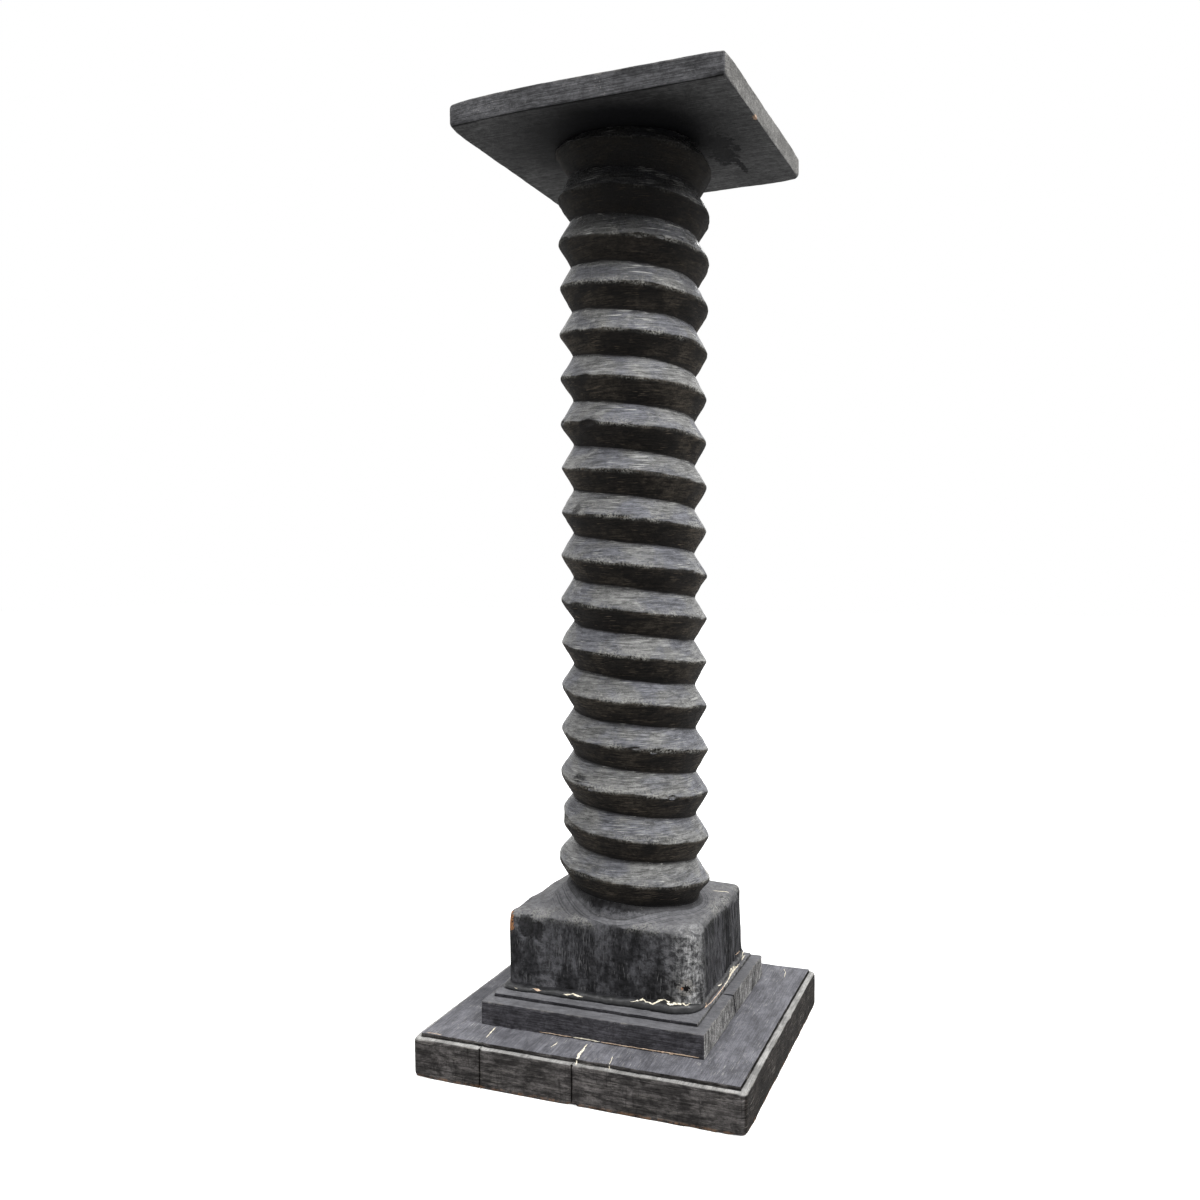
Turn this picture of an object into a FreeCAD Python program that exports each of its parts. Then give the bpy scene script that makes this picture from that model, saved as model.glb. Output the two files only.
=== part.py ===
"""Wooden press screw used as a pedestal: foot, block, left-hand thread and top board.

Units are millimetres. The origin is the centre of the underside of the base,
+Z is up and -Y is the front, which carries the two board seams of the base.
"""
import FreeCAD, Part
import math
import os

V = FreeCAD.Vector

# ---- Overall ----
total_height = 1070.0

# ---- Base: three boards side by side, grain front to back ----
base_width = 383.0            # along X
base_depth = 364.0            # along Y
base_thickness = 44.3         # up to the border ledge
base_corner_radius = 7.0
base_panel_rise = 4.3         # raised panel above the border ledge
base_border = 8.3             # width of the border ledge
base_seam_left_x = -106.8
base_seam_right_x = 2.3
seam_groove_width = 3.0
seam_groove_depth = 2.5

# ---- Plinth: two boards, grain along X ----
plinth_width = 266.0
plinth_depth = 259.0
plinth_thickness = 26.2       # up to the plinth ledge
plinth_corner_radius = 3.0
plinth_seam_y = -6.0
step_rise = 3.7               # raised step above the plinth ledge
step_left = -124.5            # edges of the raised step
step_right = 118.5
step_front = -110.0
step_back = 124.5
step_corner_radius = 2.0

# ---- Screw axis on the base ----
column_x = 6.8
column_y = 2.4

# ---- Block under the screw, edges measured from the screw axis ----
block_left = -127.0
block_right = 105.5
block_front = -90.5
block_back = 116.5
block_taper = 2.7             # each side leans in by this much over the block's height
block_height = 90.5           # up to the worn top arris
block_radius_near_right = 27.0
block_radius_near_left = 11.0
block_radius_far_right = 16.0
block_radius_far_left = 16.0
corner_facets = 5             # flats that round each corner of the block
arris_inset = 7.0             # wear on the top arris
arris_drop = 9.0
shoulder_rise = 13.0          # from the arris up to the foot of the screw
shoulder_radius = 78.0

# ---- Filler bead round the foot of the block ----
filler_front = 7.5
filler_side = 3.4
filler_height = 8.0

# ---- Screw thread, left-hand, one start ----
thread_pitch = 51.3
thread_depth = 14.3
crest_radius_waist = 84.8     # crest radius at mid height
crest_radius_swell = 4.2      # extra crest radius at the two ends
crest_flat = 5.8
root_flat = 5.8
crest_height_at_x = 200.4     # height of a crest on the +X side of the screw
facets_per_turn = 24          # short flats left by cutting the thread by hand

# ---- Top board ----
top_width = 317.0
top_depth = 320.0
top_thickness = 25.0
top_turn = -1.33              # degrees, the board sits slightly askew
top_corner_radius = 7.0
top_planed_back = 9.0         # how far the front edge falls back at the left corner
top_planed_length = 120.0     # length of that curved part of the front edge

# ---- Loose tongues across the board seams ----
base_tongue_length = 60.0     # across the seam
base_tongue_width = 45.0
base_tongue_thickness = 12.0
base_tongue_offsets = (-125.0, 125.0)
plinth_tongue_length = 50.0
plinth_tongue_width = 35.0
plinth_tongue_thickness = 8.0
plinth_tongue_offsets = (-90.0, 90.0)

# ---- Lag screws from the base into the block ----
lag_diameter = 10.0
lag_length = 140.0
lag_head_across_flats = 17.0
lag_head_height = 6.5
lag_spread_x = 118.0
lag_spread_y = 112.0
lag_clearance = 0.5           # per side, in the boards
lag_pocket_diameter = 30.0
lag_pocket_depth = 14.0
washer_side = 20.0            # square plate washer
washer_thickness = 2.5

# ---- Wood screws from the base into the plinth ----
wood_screw_diameter = 5.0
wood_screw_length = 50.0
wood_screw_head_diameter = 10.0
wood_screw_head_height = 3.5
wood_screw_sink = 8.0         # head depth below the underside
wood_screw_places = ((-120.0, -80.0), (-120.0, 80.0), (90.0, -100.0), (90.0, 80.0))

# ---- Top screws and their plugs ----
top_screw_diameter = 6.0
top_screw_length = 90.0
top_screw_head_diameter = 12.0
top_screw_head_height = 4.0
top_screw_spread = 92.0       # distance between the two
plug_length = 8.0

# ---- Heights that follow ----
base_top = base_thickness + base_panel_rise
ledge_z = base_top + plinth_thickness
step_z = ledge_z + step_rise
arris_z = step_z + block_height
shoulder_z = arris_z + shoulder_rise
top_under_z = total_height - top_thickness
axis = V(column_x, column_y, 0)


def box(x0, x1, y0, y1, z0, z1):
    return Part.makeBox(x1 - x0, y1 - y0, z1 - z0, V(x0, y0, z0))


def rod(diameter, length, start, direction=V(0, 0, 1)):
    return Part.makeCylinder(diameter / 2, length, start, direction)


def corner_points(x0, x1, y0, y1, z, radii, count):
    """Points round the corners of a rectangle, each corner in a number of equal flats."""
    centres = ((x0 + radii[0], y0 + radii[0]), (x1 - radii[1], y0 + radii[1]),
               (x1 - radii[2], y1 - radii[2]), (x0 + radii[3], y1 - radii[3]))
    points = []
    for i, (x, y) in enumerate(centres):
        for j in range(count + 1):
            angle = math.pi + (i + j / count) * math.pi / 2
            points.append(V(x + radii[i] * math.cos(angle), y + radii[i] * math.sin(angle), z))
    return points


def slab(x0, x1, y0, y1, z0, z1, radius):
    """Board with rounded vertical corners."""
    points = corner_points(x0, x1, y0, y1, z0, (radius,) * 4, 2)
    edges = []
    for i in range(0, 12, 3):
        edges.append(Part.Arc(points[i], points[i + 1], points[i + 2]).toShape())
        edges.append(Part.makeLine(points[i + 2], points[(i + 3) % 12]))
    return Part.Face(Part.Wire(edges)).extrude(V(0, 0, z1 - z0))


def groups(shapes):
    return Part.makeCompound(shapes)


def each(shape, places):
    """Copies of one shape at a list of places."""
    copies = []
    for place in places:
        copy = shape.copy()
        copy.translate(place)
        copies.append(copy)
    return copies


# ---- Fixings ----
lag_places = [axis + V(-lag_spread_x / 2, -lag_spread_y / 2, 0),
              axis + V(lag_spread_x / 2, lag_spread_y / 2, 0)]
lag_seat = lag_pocket_depth - washer_thickness


def hexagon(across_flats, height, z):
    r = across_flats / math.sqrt(3)
    points = [V(r * math.cos(a * math.pi / 3), r * math.sin(a * math.pi / 3), z) for a in range(7)]
    return Part.Face(Part.makePolygon(points)).extrude(V(0, 0, height))


def lag_bore(diameter):
    return rod(diameter, lag_length, V(0, 0, lag_seat))


def lag_screw():
    head = hexagon(lag_head_across_flats, lag_head_height, lag_seat - lag_head_height)
    return head.fuse(lag_bore(lag_diameter)).removeSplitter()


def washer():
    half = washer_side / 2
    plate = box(-half, half, -half, half, lag_seat, lag_seat + washer_thickness)
    return plate.cut(rod(lag_diameter + 2 * lag_clearance, washer_thickness, V(0, 0, lag_seat)))


def wood_screw(diameter, length, head_diameter, head_height, z, up):
    """Countersunk screw, its head's flat face at z, its shank going up or down."""
    way = V(0, 0, 1 if up else -1)
    head = Part.makeCone(head_diameter / 2, diameter / 2, head_height, V(0, 0, z), way)
    shank = rod(diameter, length - head_height, V(0, 0, z) + way * head_height, way)
    return head.fuse(shank).removeSplitter()


plinth_screw = wood_screw(wood_screw_diameter, wood_screw_length, wood_screw_head_diameter,
                          wood_screw_head_height, wood_screw_sink, True)
plinth_screws = each(plinth_screw, [V(x, y, 0) for x, y in wood_screw_places])
plinth_screw_mouth = rod(wood_screw_head_diameter, wood_screw_sink, V(0, 0, 0))
plinth_screw_mouths = each(plinth_screw_mouth, [V(x, y, 0) for x, y in wood_screw_places])

head_z = total_height - plug_length
top_screw = wood_screw(top_screw_diameter, top_screw_length, top_screw_head_diameter,
                       top_screw_head_height, head_z, False)
top_screw_places = [axis + V(x, 0, 0) for x in (-top_screw_spread / 2, top_screw_spread / 2)]
top_screws = each(top_screw, top_screw_places)
top_plugs = each(rod(top_screw_head_diameter, plug_length, V(0, 0, head_z)), top_screw_places)

lag_screws = each(lag_screw(), lag_places)
washers = each(washer(), lag_places)

# ---- Base boards ----
base_stock = slab(-base_width / 2, base_width / 2, -base_depth / 2, base_depth / 2,
                  0, base_thickness, base_corner_radius)
panel_x = base_width / 2 - base_border
panel_y = base_depth / 2 - base_border
base_stock = base_stock.fuse(slab(-panel_x, panel_x, -panel_y, panel_y,
                                  base_thickness, base_top, step_corner_radius))


def seam_strip(x):
    """Filler lying in the V groove along the top of a base seam."""
    points = [V(x - seam_groove_width / 2, -panel_y, base_top),
              V(x + seam_groove_width / 2, -panel_y, base_top),
              V(x, -panel_y, base_top - seam_groove_depth)]
    return Part.Face(Part.makePolygon(points + points[:1])).extrude(V(0, 2 * panel_y, 0))


seam_strips = [seam_strip(base_seam_left_x), seam_strip(base_seam_right_x)]
base_mid_z = base_thickness / 2
base_tongues = [box(x - base_tongue_length / 2, x + base_tongue_length / 2,
                    y - base_tongue_width / 2, y + base_tongue_width / 2,
                    base_mid_z - base_tongue_thickness / 2, base_mid_z + base_tongue_thickness / 2)
                for x in (base_seam_left_x, base_seam_right_x) for y in base_tongue_offsets]

lag_board_bores = each(lag_bore(lag_diameter + 2 * lag_clearance), lag_places)
lag_pockets = each(rod(lag_pocket_diameter, lag_pocket_depth, V(0, 0, 0)), lag_places)
base_stock = base_stock.cut(seam_strips + base_tongues + lag_board_bores + lag_pockets
                            + plinth_screws + plinth_screw_mouths)

half_w = base_width / 2
half_d = base_depth / 2
base_left = base_stock.common(box(-half_w, base_seam_left_x, -half_d, half_d, 0, base_top))
base_middle = base_stock.common(box(base_seam_left_x, base_seam_right_x, -half_d, half_d, 0, base_top))
base_right = base_stock.common(box(base_seam_right_x, half_w, -half_d, half_d, 0, base_top))

# ---- Plinth boards ----
plinth_stock = slab(-plinth_width / 2, plinth_width / 2, -plinth_depth / 2, plinth_depth / 2,
                    base_top, ledge_z, plinth_corner_radius)
plinth_stock = plinth_stock.fuse(slab(step_left, step_right, step_front, step_back,
                                      ledge_z, step_z, step_corner_radius))
plinth_mid_z = base_top + plinth_thickness / 2
plinth_tongues = [box(x - plinth_tongue_width / 2, x + plinth_tongue_width / 2,
                      plinth_seam_y - plinth_tongue_length / 2, plinth_seam_y + plinth_tongue_length / 2,
                      plinth_mid_z - plinth_tongue_thickness / 2, plinth_mid_z + plinth_tongue_thickness / 2)
                  for x in plinth_tongue_offsets]
plinth_stock = plinth_stock.cut(plinth_tongues + lag_board_bores + plinth_screws)
half_pw = plinth_width / 2
half_pd = plinth_depth / 2
plinth_front = plinth_stock.common(box(-half_pw, half_pw, -half_pd, plinth_seam_y, base_top, step_z))
plinth_back = plinth_stock.common(box(-half_pw, half_pw, plinth_seam_y, half_pd, base_top, step_z))


# ---- Block ----
def block_outline(z, inset, side=0, front=0):
    """Outline of the block at height z, drawn in by inset, or grown at its sides and front."""
    radii = (block_radius_near_left + side, block_radius_near_right + side,
             block_radius_far_right + side, block_radius_far_left + side)
    points = corner_points(column_x + block_left + inset - side, column_x + block_right - inset + side,
                           column_y + block_front + inset - front, column_y + block_back - inset + side,
                           z, radii, corner_facets)
    return Part.makePolygon(points + points[:1])


def shoulder_circle():
    r = shoulder_radius
    points = corner_points(column_x - r, column_x + r, column_y - r, column_y + r,
                           shoulder_z, (r * 0.98,) * 4, corner_facets)
    return Part.makePolygon(points + points[:1])


block = Part.makeLoft([block_outline(step_z, 0),
                       block_outline(arris_z - arris_drop, block_taper),
                       block_outline(arris_z, block_taper + arris_inset),
                       shoulder_circle()], True, True)


# ---- Thread ----
mid_z = (shoulder_z + top_under_z) / 2
half_span = (top_under_z - shoulder_z) / 2


def crest_radius(z):
    return crest_radius_waist + crest_radius_swell * ((z - mid_z) / half_span) ** 2


def rail_point(step, offset, depth):
    """Point of a helix at a facet corner, a height above the crest line and a depth below it."""
    turn = step / facets_per_turn
    angle = -2 * math.pi * turn
    z = crest_height_at_x + turn * thread_pitch
    r = crest_radius(z) - depth
    return axis + V(math.cos(angle) * r, math.sin(angle) * r, z + offset)


def thread_section(step):
    """Corners of the thread at one angle: crest, flank, root and the next crest above."""
    crest = crest_flat / 2
    root = root_flat / 2
    middle = thread_pitch / 2
    return (rail_point(step, -crest, 0), rail_point(step, crest, 0),
            rail_point(step, middle - root, thread_depth),
            rail_point(step, middle + root, thread_depth),
            rail_point(step + facets_per_turn, -crest, 0))


def triangle(a, b, c):
    return Part.Face(Part.makePolygon([a, b, c, a]))


def thread_skin(first_turn, last_turn):
    """Facets of crest, flanks and root between neighbouring sections, sewn into one skin."""
    faces = []
    for step in range(first_turn * facets_per_turn, last_turn * facets_per_turn):
        here = thread_section(step)
        there = thread_section(step + 1)
        for i in range(4):
            faces.append(triangle(here[i], here[i + 1], there[i + 1]))
            faces.append(triangle(here[i], there[i + 1], there[i]))
    skin = Part.makeShell(faces)
    skin.sewShape()
    return skin


shaft_foot = step_z + block_height / 2
first_turn = math.floor((shaft_foot - crest_height_at_x) / thread_pitch) - 1
last_turn = math.ceil((top_under_z - crest_height_at_x) / thread_pitch) + 1
reach = crest_radius_waist + 2 * crest_radius_swell + 10
shaft_stock = box(column_x - reach, column_x + reach, column_y - reach, column_y + reach,
                  shaft_foot, top_under_z)
parts_of_stock, _ = shaft_stock.generalFuse([thread_skin(first_turn, last_turn)], 0.0)
shaft = min(parts_of_stock.Solids, key=lambda solid: solid.BoundBox.XLength)

column = block.fuse(shaft)
lag_pilots = each(lag_bore(lag_diameter), lag_places)
column = column.cut(lag_pilots + top_screws)

# ---- Filler bead ----
filler = Part.makeLoft([block_outline(step_z, 0, filler_side, filler_front),
                        block_outline(step_z + filler_height, 0)], True, True)
filler = filler.cut(block)

# ---- Top board ----
top_board = slab(-top_width / 2, top_width / 2, -top_depth / 2, top_depth / 2,
                 0, top_thickness, top_corner_radius)
bow_radius = (top_planed_length ** 2 + top_planed_back ** 2) / (2 * top_planed_back)
bow_x = -top_width / 2 + top_planed_length
bow_y = -top_depth / 2 + bow_radius
planed = box(-top_width, bow_x, -top_depth, -top_depth / 2 + top_planed_back, 0, top_thickness)
planed = planed.cut(rod(2 * bow_radius, top_thickness, V(bow_x, bow_y, 0)))
top_board = top_board.cut(planed)
near_left = [edge for edge in top_board.Edges
             if edge.BoundBox.ZLength > top_thickness / 2
             and edge.BoundBox.XMax < -top_width / 2 + top_corner_radius
             and edge.BoundBox.YMax < -top_depth / 2 + 2 * top_planed_back]
top_board = top_board.makeFillet(top_corner_radius / 2, near_left)
top_board.rotate(V(0, 0, 0), V(0, 0, 1), top_turn)
top_board.translate(axis + V(0, 0, top_under_z))
top_board = top_board.cut(top_screws + top_plugs)

# ---- Write the pieces ----
pieces = {
    "screw_column": column,
    "top_board": top_board,
    "plinth_front_board": plinth_front,
    "plinth_back_board": plinth_back,
    "base_left_board": base_left,
    "base_middle_board": base_middle,
    "base_right_board": base_right,
    "foot_filler": filler,
    "base_seam_filler": groups(seam_strips),
    "base_tongues": groups(base_tongues),
    "plinth_tongues": groups(plinth_tongues),
    "plinth_screws": groups(plinth_screws),
    "column_lag_screws": groups(lag_screws),
    "column_washers": groups(washers),
    "top_screws": groups(top_screws),
    "top_plugs": groups(top_plugs),
}
os.makedirs("parts", exist_ok=True)
for name, shape in pieces.items():
    shape.exportStep("parts/" + name + ".step")
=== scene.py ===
"""Looks of the pedestal: a wooden press screw, ebonised and worn, on a stepped foot of boards.

Everything is in metres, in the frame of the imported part. The origin is the middle of the
base's underside, +Z is up and -Y is the front. Angles round the screw are in degrees from +X.
"""
import itertools
import math
from types import SimpleNamespace

import bmesh
import bpy
import numpy as np
from mathutils import Matrix, Vector
from mathutils.bvhtree import BVHTree

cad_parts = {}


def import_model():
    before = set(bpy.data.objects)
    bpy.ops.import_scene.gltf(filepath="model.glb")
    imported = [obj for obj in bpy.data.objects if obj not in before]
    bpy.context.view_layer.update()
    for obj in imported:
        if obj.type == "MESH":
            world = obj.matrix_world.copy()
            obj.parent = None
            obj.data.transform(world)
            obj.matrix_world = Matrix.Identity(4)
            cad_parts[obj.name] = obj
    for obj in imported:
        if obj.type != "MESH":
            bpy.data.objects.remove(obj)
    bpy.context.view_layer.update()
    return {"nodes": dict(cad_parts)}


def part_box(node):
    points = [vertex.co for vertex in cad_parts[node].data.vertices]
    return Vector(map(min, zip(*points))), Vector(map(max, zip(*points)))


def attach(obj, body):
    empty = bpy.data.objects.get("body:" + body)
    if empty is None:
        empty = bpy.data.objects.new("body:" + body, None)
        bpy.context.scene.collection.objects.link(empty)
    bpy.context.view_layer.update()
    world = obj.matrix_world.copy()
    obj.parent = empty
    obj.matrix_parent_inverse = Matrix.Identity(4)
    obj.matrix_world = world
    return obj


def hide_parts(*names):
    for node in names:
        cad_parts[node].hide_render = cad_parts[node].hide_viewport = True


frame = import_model()

MM = 0.001


# ---- Sizes: the boards' come from the frame, the others repeat the part's driving sizes ----
base_low = np.array(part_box("base_left_board")[0])
base_high = np.array(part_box("base_right_board")[1])
seam_left_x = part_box("base_left_board")[1][0]
seam_right_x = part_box("base_middle_board")[1][0]
plinth_low = np.array(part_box("plinth_front_board")[0])
plinth_high = np.array(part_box("plinth_back_board")[1])
plinth_seam_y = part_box("plinth_front_board")[1][1]
top_under_z, top_z = (corner[2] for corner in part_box("top_board"))
base_top = base_high[2]
step_z = plinth_high[2]

panel_rise = 4.3 * MM
border_width = 8.3 * MM
base_corner = 7.0 * MM
plinth_corner = 3.0 * MM
step_rise = 3.7 * MM
step_left, step_right = -124.5 * MM, 118.5 * MM
step_front, step_back = -110.0 * MM, 124.5 * MM
column_axis = np.array((6.8, 2.4)) * MM

block_sides = np.array((-127.0, 105.5)) * MM      # left and right, from the axis
block_ends = np.array((-90.5, 116.5)) * MM        # front and back, from the axis
block_radii = np.array((11.0, 27.0, 16.0, 16.0)) * MM   # near left, near right, far right, far left
block_taper = 2.7 * MM
block_height = 90.5 * MM
arris_inset = 7.0 * MM
arris_drop = 9.0 * MM
knot_place = (98.7 * MM, -84.5 * MM, 103.8 * MM)

foot_radius = 77.0 * MM       # where the shoulder meets the lowest turn of the thread
foot_low_z = 172.0 * MM       # lowest height of that foot, at this bearing
foot_low_bearing = 20.0
shoulder_inner = 62.0 * MM    # the shoulder goes on inside the screw as far as this

thread_pitch = 51.3 * MM
thread_depth = 14.3 * MM
crest_radius_waist = 84.8 * MM
crest_radius_swell = 4.2 * MM
crest_height_at_x = 200.4 * MM
columns_per_turn = 168
thread_dents = (          # bearing, height, and the egg's radii in millimetres: tangent, radial, up
    (-111.6, 779.3, 9.0, 2.6, 4.0),
    (-108.0, 727.0, 13.0, 3.0, 6.5),
    (-122.8, 634.0, 8.0, 3.0, 6.0),
    (-119.2, 327.0, 9.0, 2.6, 5.0),
    (-28.2, 301.0, 6.0, 2.4, 3.5),
    (-62.0, 557.0, 7.0, 2.0, 3.0),
    (40.0, 480.0, 10.0, 2.8, 5.0),
    (95.0, 655.0, 8.0, 2.5, 5.0),
    (160.0, 380.0, 12.0, 3.0, 5.0),
    (140.0, 880.0, 9.0, 2.8, 4.5),
    (-20.0, 930.0, 7.0, 2.2, 3.5),
)
trunk_fields = ("screw", "worn", "dark_round_dents", "root", "rubbed")

top_width = 317.0 * MM
top_depth = 320.0 * MM
top_turn = math.radians(-1.33)
stain_and_shade_middle = (15.0 * MM, -45.0 * MM, 1045.0 * MM)     # of the dark stain and painted shade on the underside
black_drips = (((0.106, 0.008), (18, 30)), ((0.103, 0.045), (14, 30)),      # place, radii in mm
               ((0.114, 0.082), (3.5, 30)), ((0.122, 0.03), (6, 12)))
pale_dots = ((0.063, -0.0266), (0.0747, -0.0063))
top_corner = 7.0 * MM
top_corner_near_right = 3.2 * MM
top_planed_back = 9.0 * MM
top_planed_length = 120.0 * MM

bead_front = 7.5 * MM
bead_side = 3.4 * MM
bead_height = 8.0 * MM

arris_z = step_z + block_height
shoulder_z = arris_z + 13.0 * MM      # where the screw begins


# ---- Repeatable irregularity ----
def scatter(cells, seed):
    """Numbers from -1 to 1, one for each cell of three whole numbers."""
    n = cells[..., 0] * 0x8DA6B343 + cells[..., 1] * 0xD8163841 + cells[..., 2] * 0xCB1AB31F
    n = (n + seed * 0x9E3779B1) & 0xFFFFFFFF
    for shift, factor in ((15, 0x2C1B3C6D), (12, 0x297A2D39)):
        n = ((n ^ (n >> shift)) * factor) & 0xFFFFFFFF
    return (n ^ (n >> 15)) / 0x7FFFFFFF - 1.0


def lumps(points, size, seed, flat=False):
    """Noise from -1 to 1 with lumps of a size in metres, smooth or in flat facets."""
    p = np.asarray(points, float) / np.asarray(size, float)
    cell = np.floor(p).astype(np.int64)
    t = p - cell
    if not flat:
        t = t * t * (3 - 2 * t)
    total = np.zeros(p.shape[:-1])
    for corner in itertools.product((0, 1), repeat=3):
        share = np.prod(np.where(corner, t, 1 - t), axis=-1)
        total += share * scatter(cell + np.array(corner), seed)
    return total


def ragged(points, size, seed, octaves=3):
    """Noise from about -1 to 1 with finer lumps laid over the large ones."""
    layers = [lumps(points, np.asarray(size) / 2 ** k, seed + k) / 2 ** k for k in range(octaves)]
    return sum(layers) / 1.3


def knots(along, spacing, seed, reach):
    """A line of straight runs of uneven length that wanders between -reach and reach."""
    random = np.random.default_rng(seed)
    count = int((along.max() - along.min()) / spacing) + 4
    places = along.min() - spacing + spacing * np.cumsum(random.uniform(0.6, 1.4, count + 4))
    return np.interp(along, places, random.uniform(-reach, reach, len(places)))


def smooth(low, high, values):
    t = np.clip((values - low) / (high - low), 0, 1)
    return t * t * (3 - 2 * t)


def bell(values, middle, width, power=2):
    """1 at the middle, and next to 0 from about two widths away."""
    return np.exp(-((values - middle) / width) ** power)


def round_axis(places):
    """Distance from the screw's axis, and bearing in degrees."""
    x, y = places[..., 0] - column_axis[0], places[..., 1] - column_axis[1]
    return np.hypot(x, y), np.degrees(np.arctan2(y, x))


def bite(points, centre, radii):
    """Pushes points out of a ball or egg, which leaves a chip or dent."""
    q = (points - np.asarray(centre)) / np.asarray(radii)
    size = np.linalg.norm(q, axis=-1, keepdims=True)
    inside = (size < 1) & (size > 1e-6)
    pushed = np.asarray(centre) + q / np.maximum(size, 1e-6) * np.asarray(radii)
    return np.where(inside, pushed, points)


# ---- Meshes ----
def box_grid(xs, ys, zs):
    """Closed box of quads on the given lines."""
    shell = np.zeros((len(xs), len(ys), len(zs)), bool)
    shell[[0, -1]] = shell[:, [0, -1]] = shell[:, :, [0, -1]] = True
    ids = np.full(shell.shape, -1)
    ids[shell] = np.arange(shell.sum())
    faces = []
    for sheet, turned in ((ids[0], True), (ids[-1], False), (ids[:, 0], False),
                          (ids[:, -1], True), (ids[:, :, 0], True), (ids[:, :, -1], False)):
        faces.append(grid_faces(sheet)[:, ::-1] if turned else grid_faces(sheet))
    grid = np.stack(np.meshgrid(xs, ys, zs, indexing="ij"), -1)
    return grid[shell], np.concatenate(faces)


def grid_faces(ids):
    """Quads between the neighbours of a table of vertex numbers."""
    corners = (ids[:-1, :-1], ids[1:, :-1], ids[1:, 1:], ids[:-1, 1:])
    return np.stack(corners, -1).reshape(-1, 4)


def round_table(rows, columns, start=0):
    """Vertex numbers row by row, with the first column once more at the end."""
    ids = np.arange(start, start + rows * columns).reshape(rows, columns)
    return np.concatenate([ids, ids[:, :1]], 1)


def lines(low, high, step, extra=()):
    """Grid lines from low to high, closer together at both ends and beside the extra places."""
    near = np.array((0.0, 0.5, 1.0, 1.7, 2.6, 3.8, 5.4)) * MM
    inner = np.linspace(low + near[-1], high - near[-1], max(2, round((high - low) / step)))
    found = [*(low + near), *inner, *(high - near)]
    for place in extra:
        found += [place + gap * MM for gap in (-1.2, -0.4, -0.1, 0.1, 0.5, 1.1, 1.9)]
    found = np.array(sorted(x for x in found if low <= x <= high))
    return found[np.r_[True, np.diff(found) > 0.08 * MM]]


def set_fields(mesh, fields):
    """Stores a number for each vertex under each field's name, for the node materials."""
    for field, values in fields.items():
        layer = mesh.attributes.new(field, "FLOAT", "POINT")
        layer.data.foreach_set("value", values.astype(np.float32))


def make_mesh(name, points, faces, fields):
    mesh = bpy.data.meshes.new(name)
    mesh.vertices.add(len(points))
    mesh.vertices.foreach_set("co", points.astype(np.float32).ravel())
    mesh.loops.add(faces.size)
    mesh.loops.foreach_set("vertex_index", faces.astype(np.int32).ravel())
    mesh.polygons.add(len(faces))
    mesh.polygons.foreach_set("loop_start", np.arange(0, faces.size, 4, dtype=np.int32))
    mesh.update(calc_edges=True)
    set_fields(mesh, fields)
    return mesh


def capped_mesh(name, points, faces, cuts=()):
    """Closed mesh from an open shell: trimmed by level planes (height, keep the side below),
    with its openings filled and every face looking outward."""
    mesh = make_mesh(name, points, faces, {})
    work = bmesh.new()
    work.from_mesh(mesh)
    for z, keep_below in cuts:
        bmesh.ops.bisect_plane(work, geom=work.verts[:] + work.edges[:] + work.faces[:],
                               plane_co=(0, 0, z), plane_no=(0, 0, 1),
                               clear_outer=keep_below, clear_inner=not keep_below)
    bmesh.ops.holes_fill(work, edges=[e for e in work.edges if e.is_boundary], sides=0)
    bmesh.ops.recalc_face_normals(work, faces=work.faces[:])
    work.to_mesh(mesh)
    work.free()
    return mesh


def put_in(name, data):
    """Puts a mesh, lamp or camera in the scene."""
    made = bpy.data.objects.new(name, data)
    bpy.context.scene.collection.objects.link(made)
    return made


def finish_piece(name, mesh, material, replaced=(), sharp=40.0):
    """Puts a mesh in the scene as a piece of the object that rides on its one body."""
    mesh.validate()
    mesh.shade_smooth()
    mesh.set_sharp_from_angle(angle=math.radians(sharp))
    mesh.materials.clear()
    mesh.materials.append(material)
    made = put_in(name, mesh)
    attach(made, "root")
    if replaced:
        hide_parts(*replaced)
    return made


# ---- Node materials ----
def srgb(*levels):
    """Colour as the renderer wants it, from the usual 0 to 255 levels."""
    scaled = np.array(levels) / 255
    linear = np.where(scaled <= 0.04045, scaled / 12.92, ((scaled + 0.055) / 1.055) ** 2.4)
    return (*linear, 1.0)


class Wire:
    """What comes out of a node. Sums and products of wires add maths nodes to the material."""

    def __init__(self, finish, socket):
        self.finish, self.socket = finish, socket

    def __add__(self, other):
        return self.finish.math("ADD", self, other)

    def __mul__(self, other):
        return self.finish.math("MULTIPLY", self, other)

    def __rsub__(self, other):
        return self.finish.math("SUBTRACT", other, self)

    def __abs__(self):
        return self.finish.math("ABSOLUTE", self)


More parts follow.
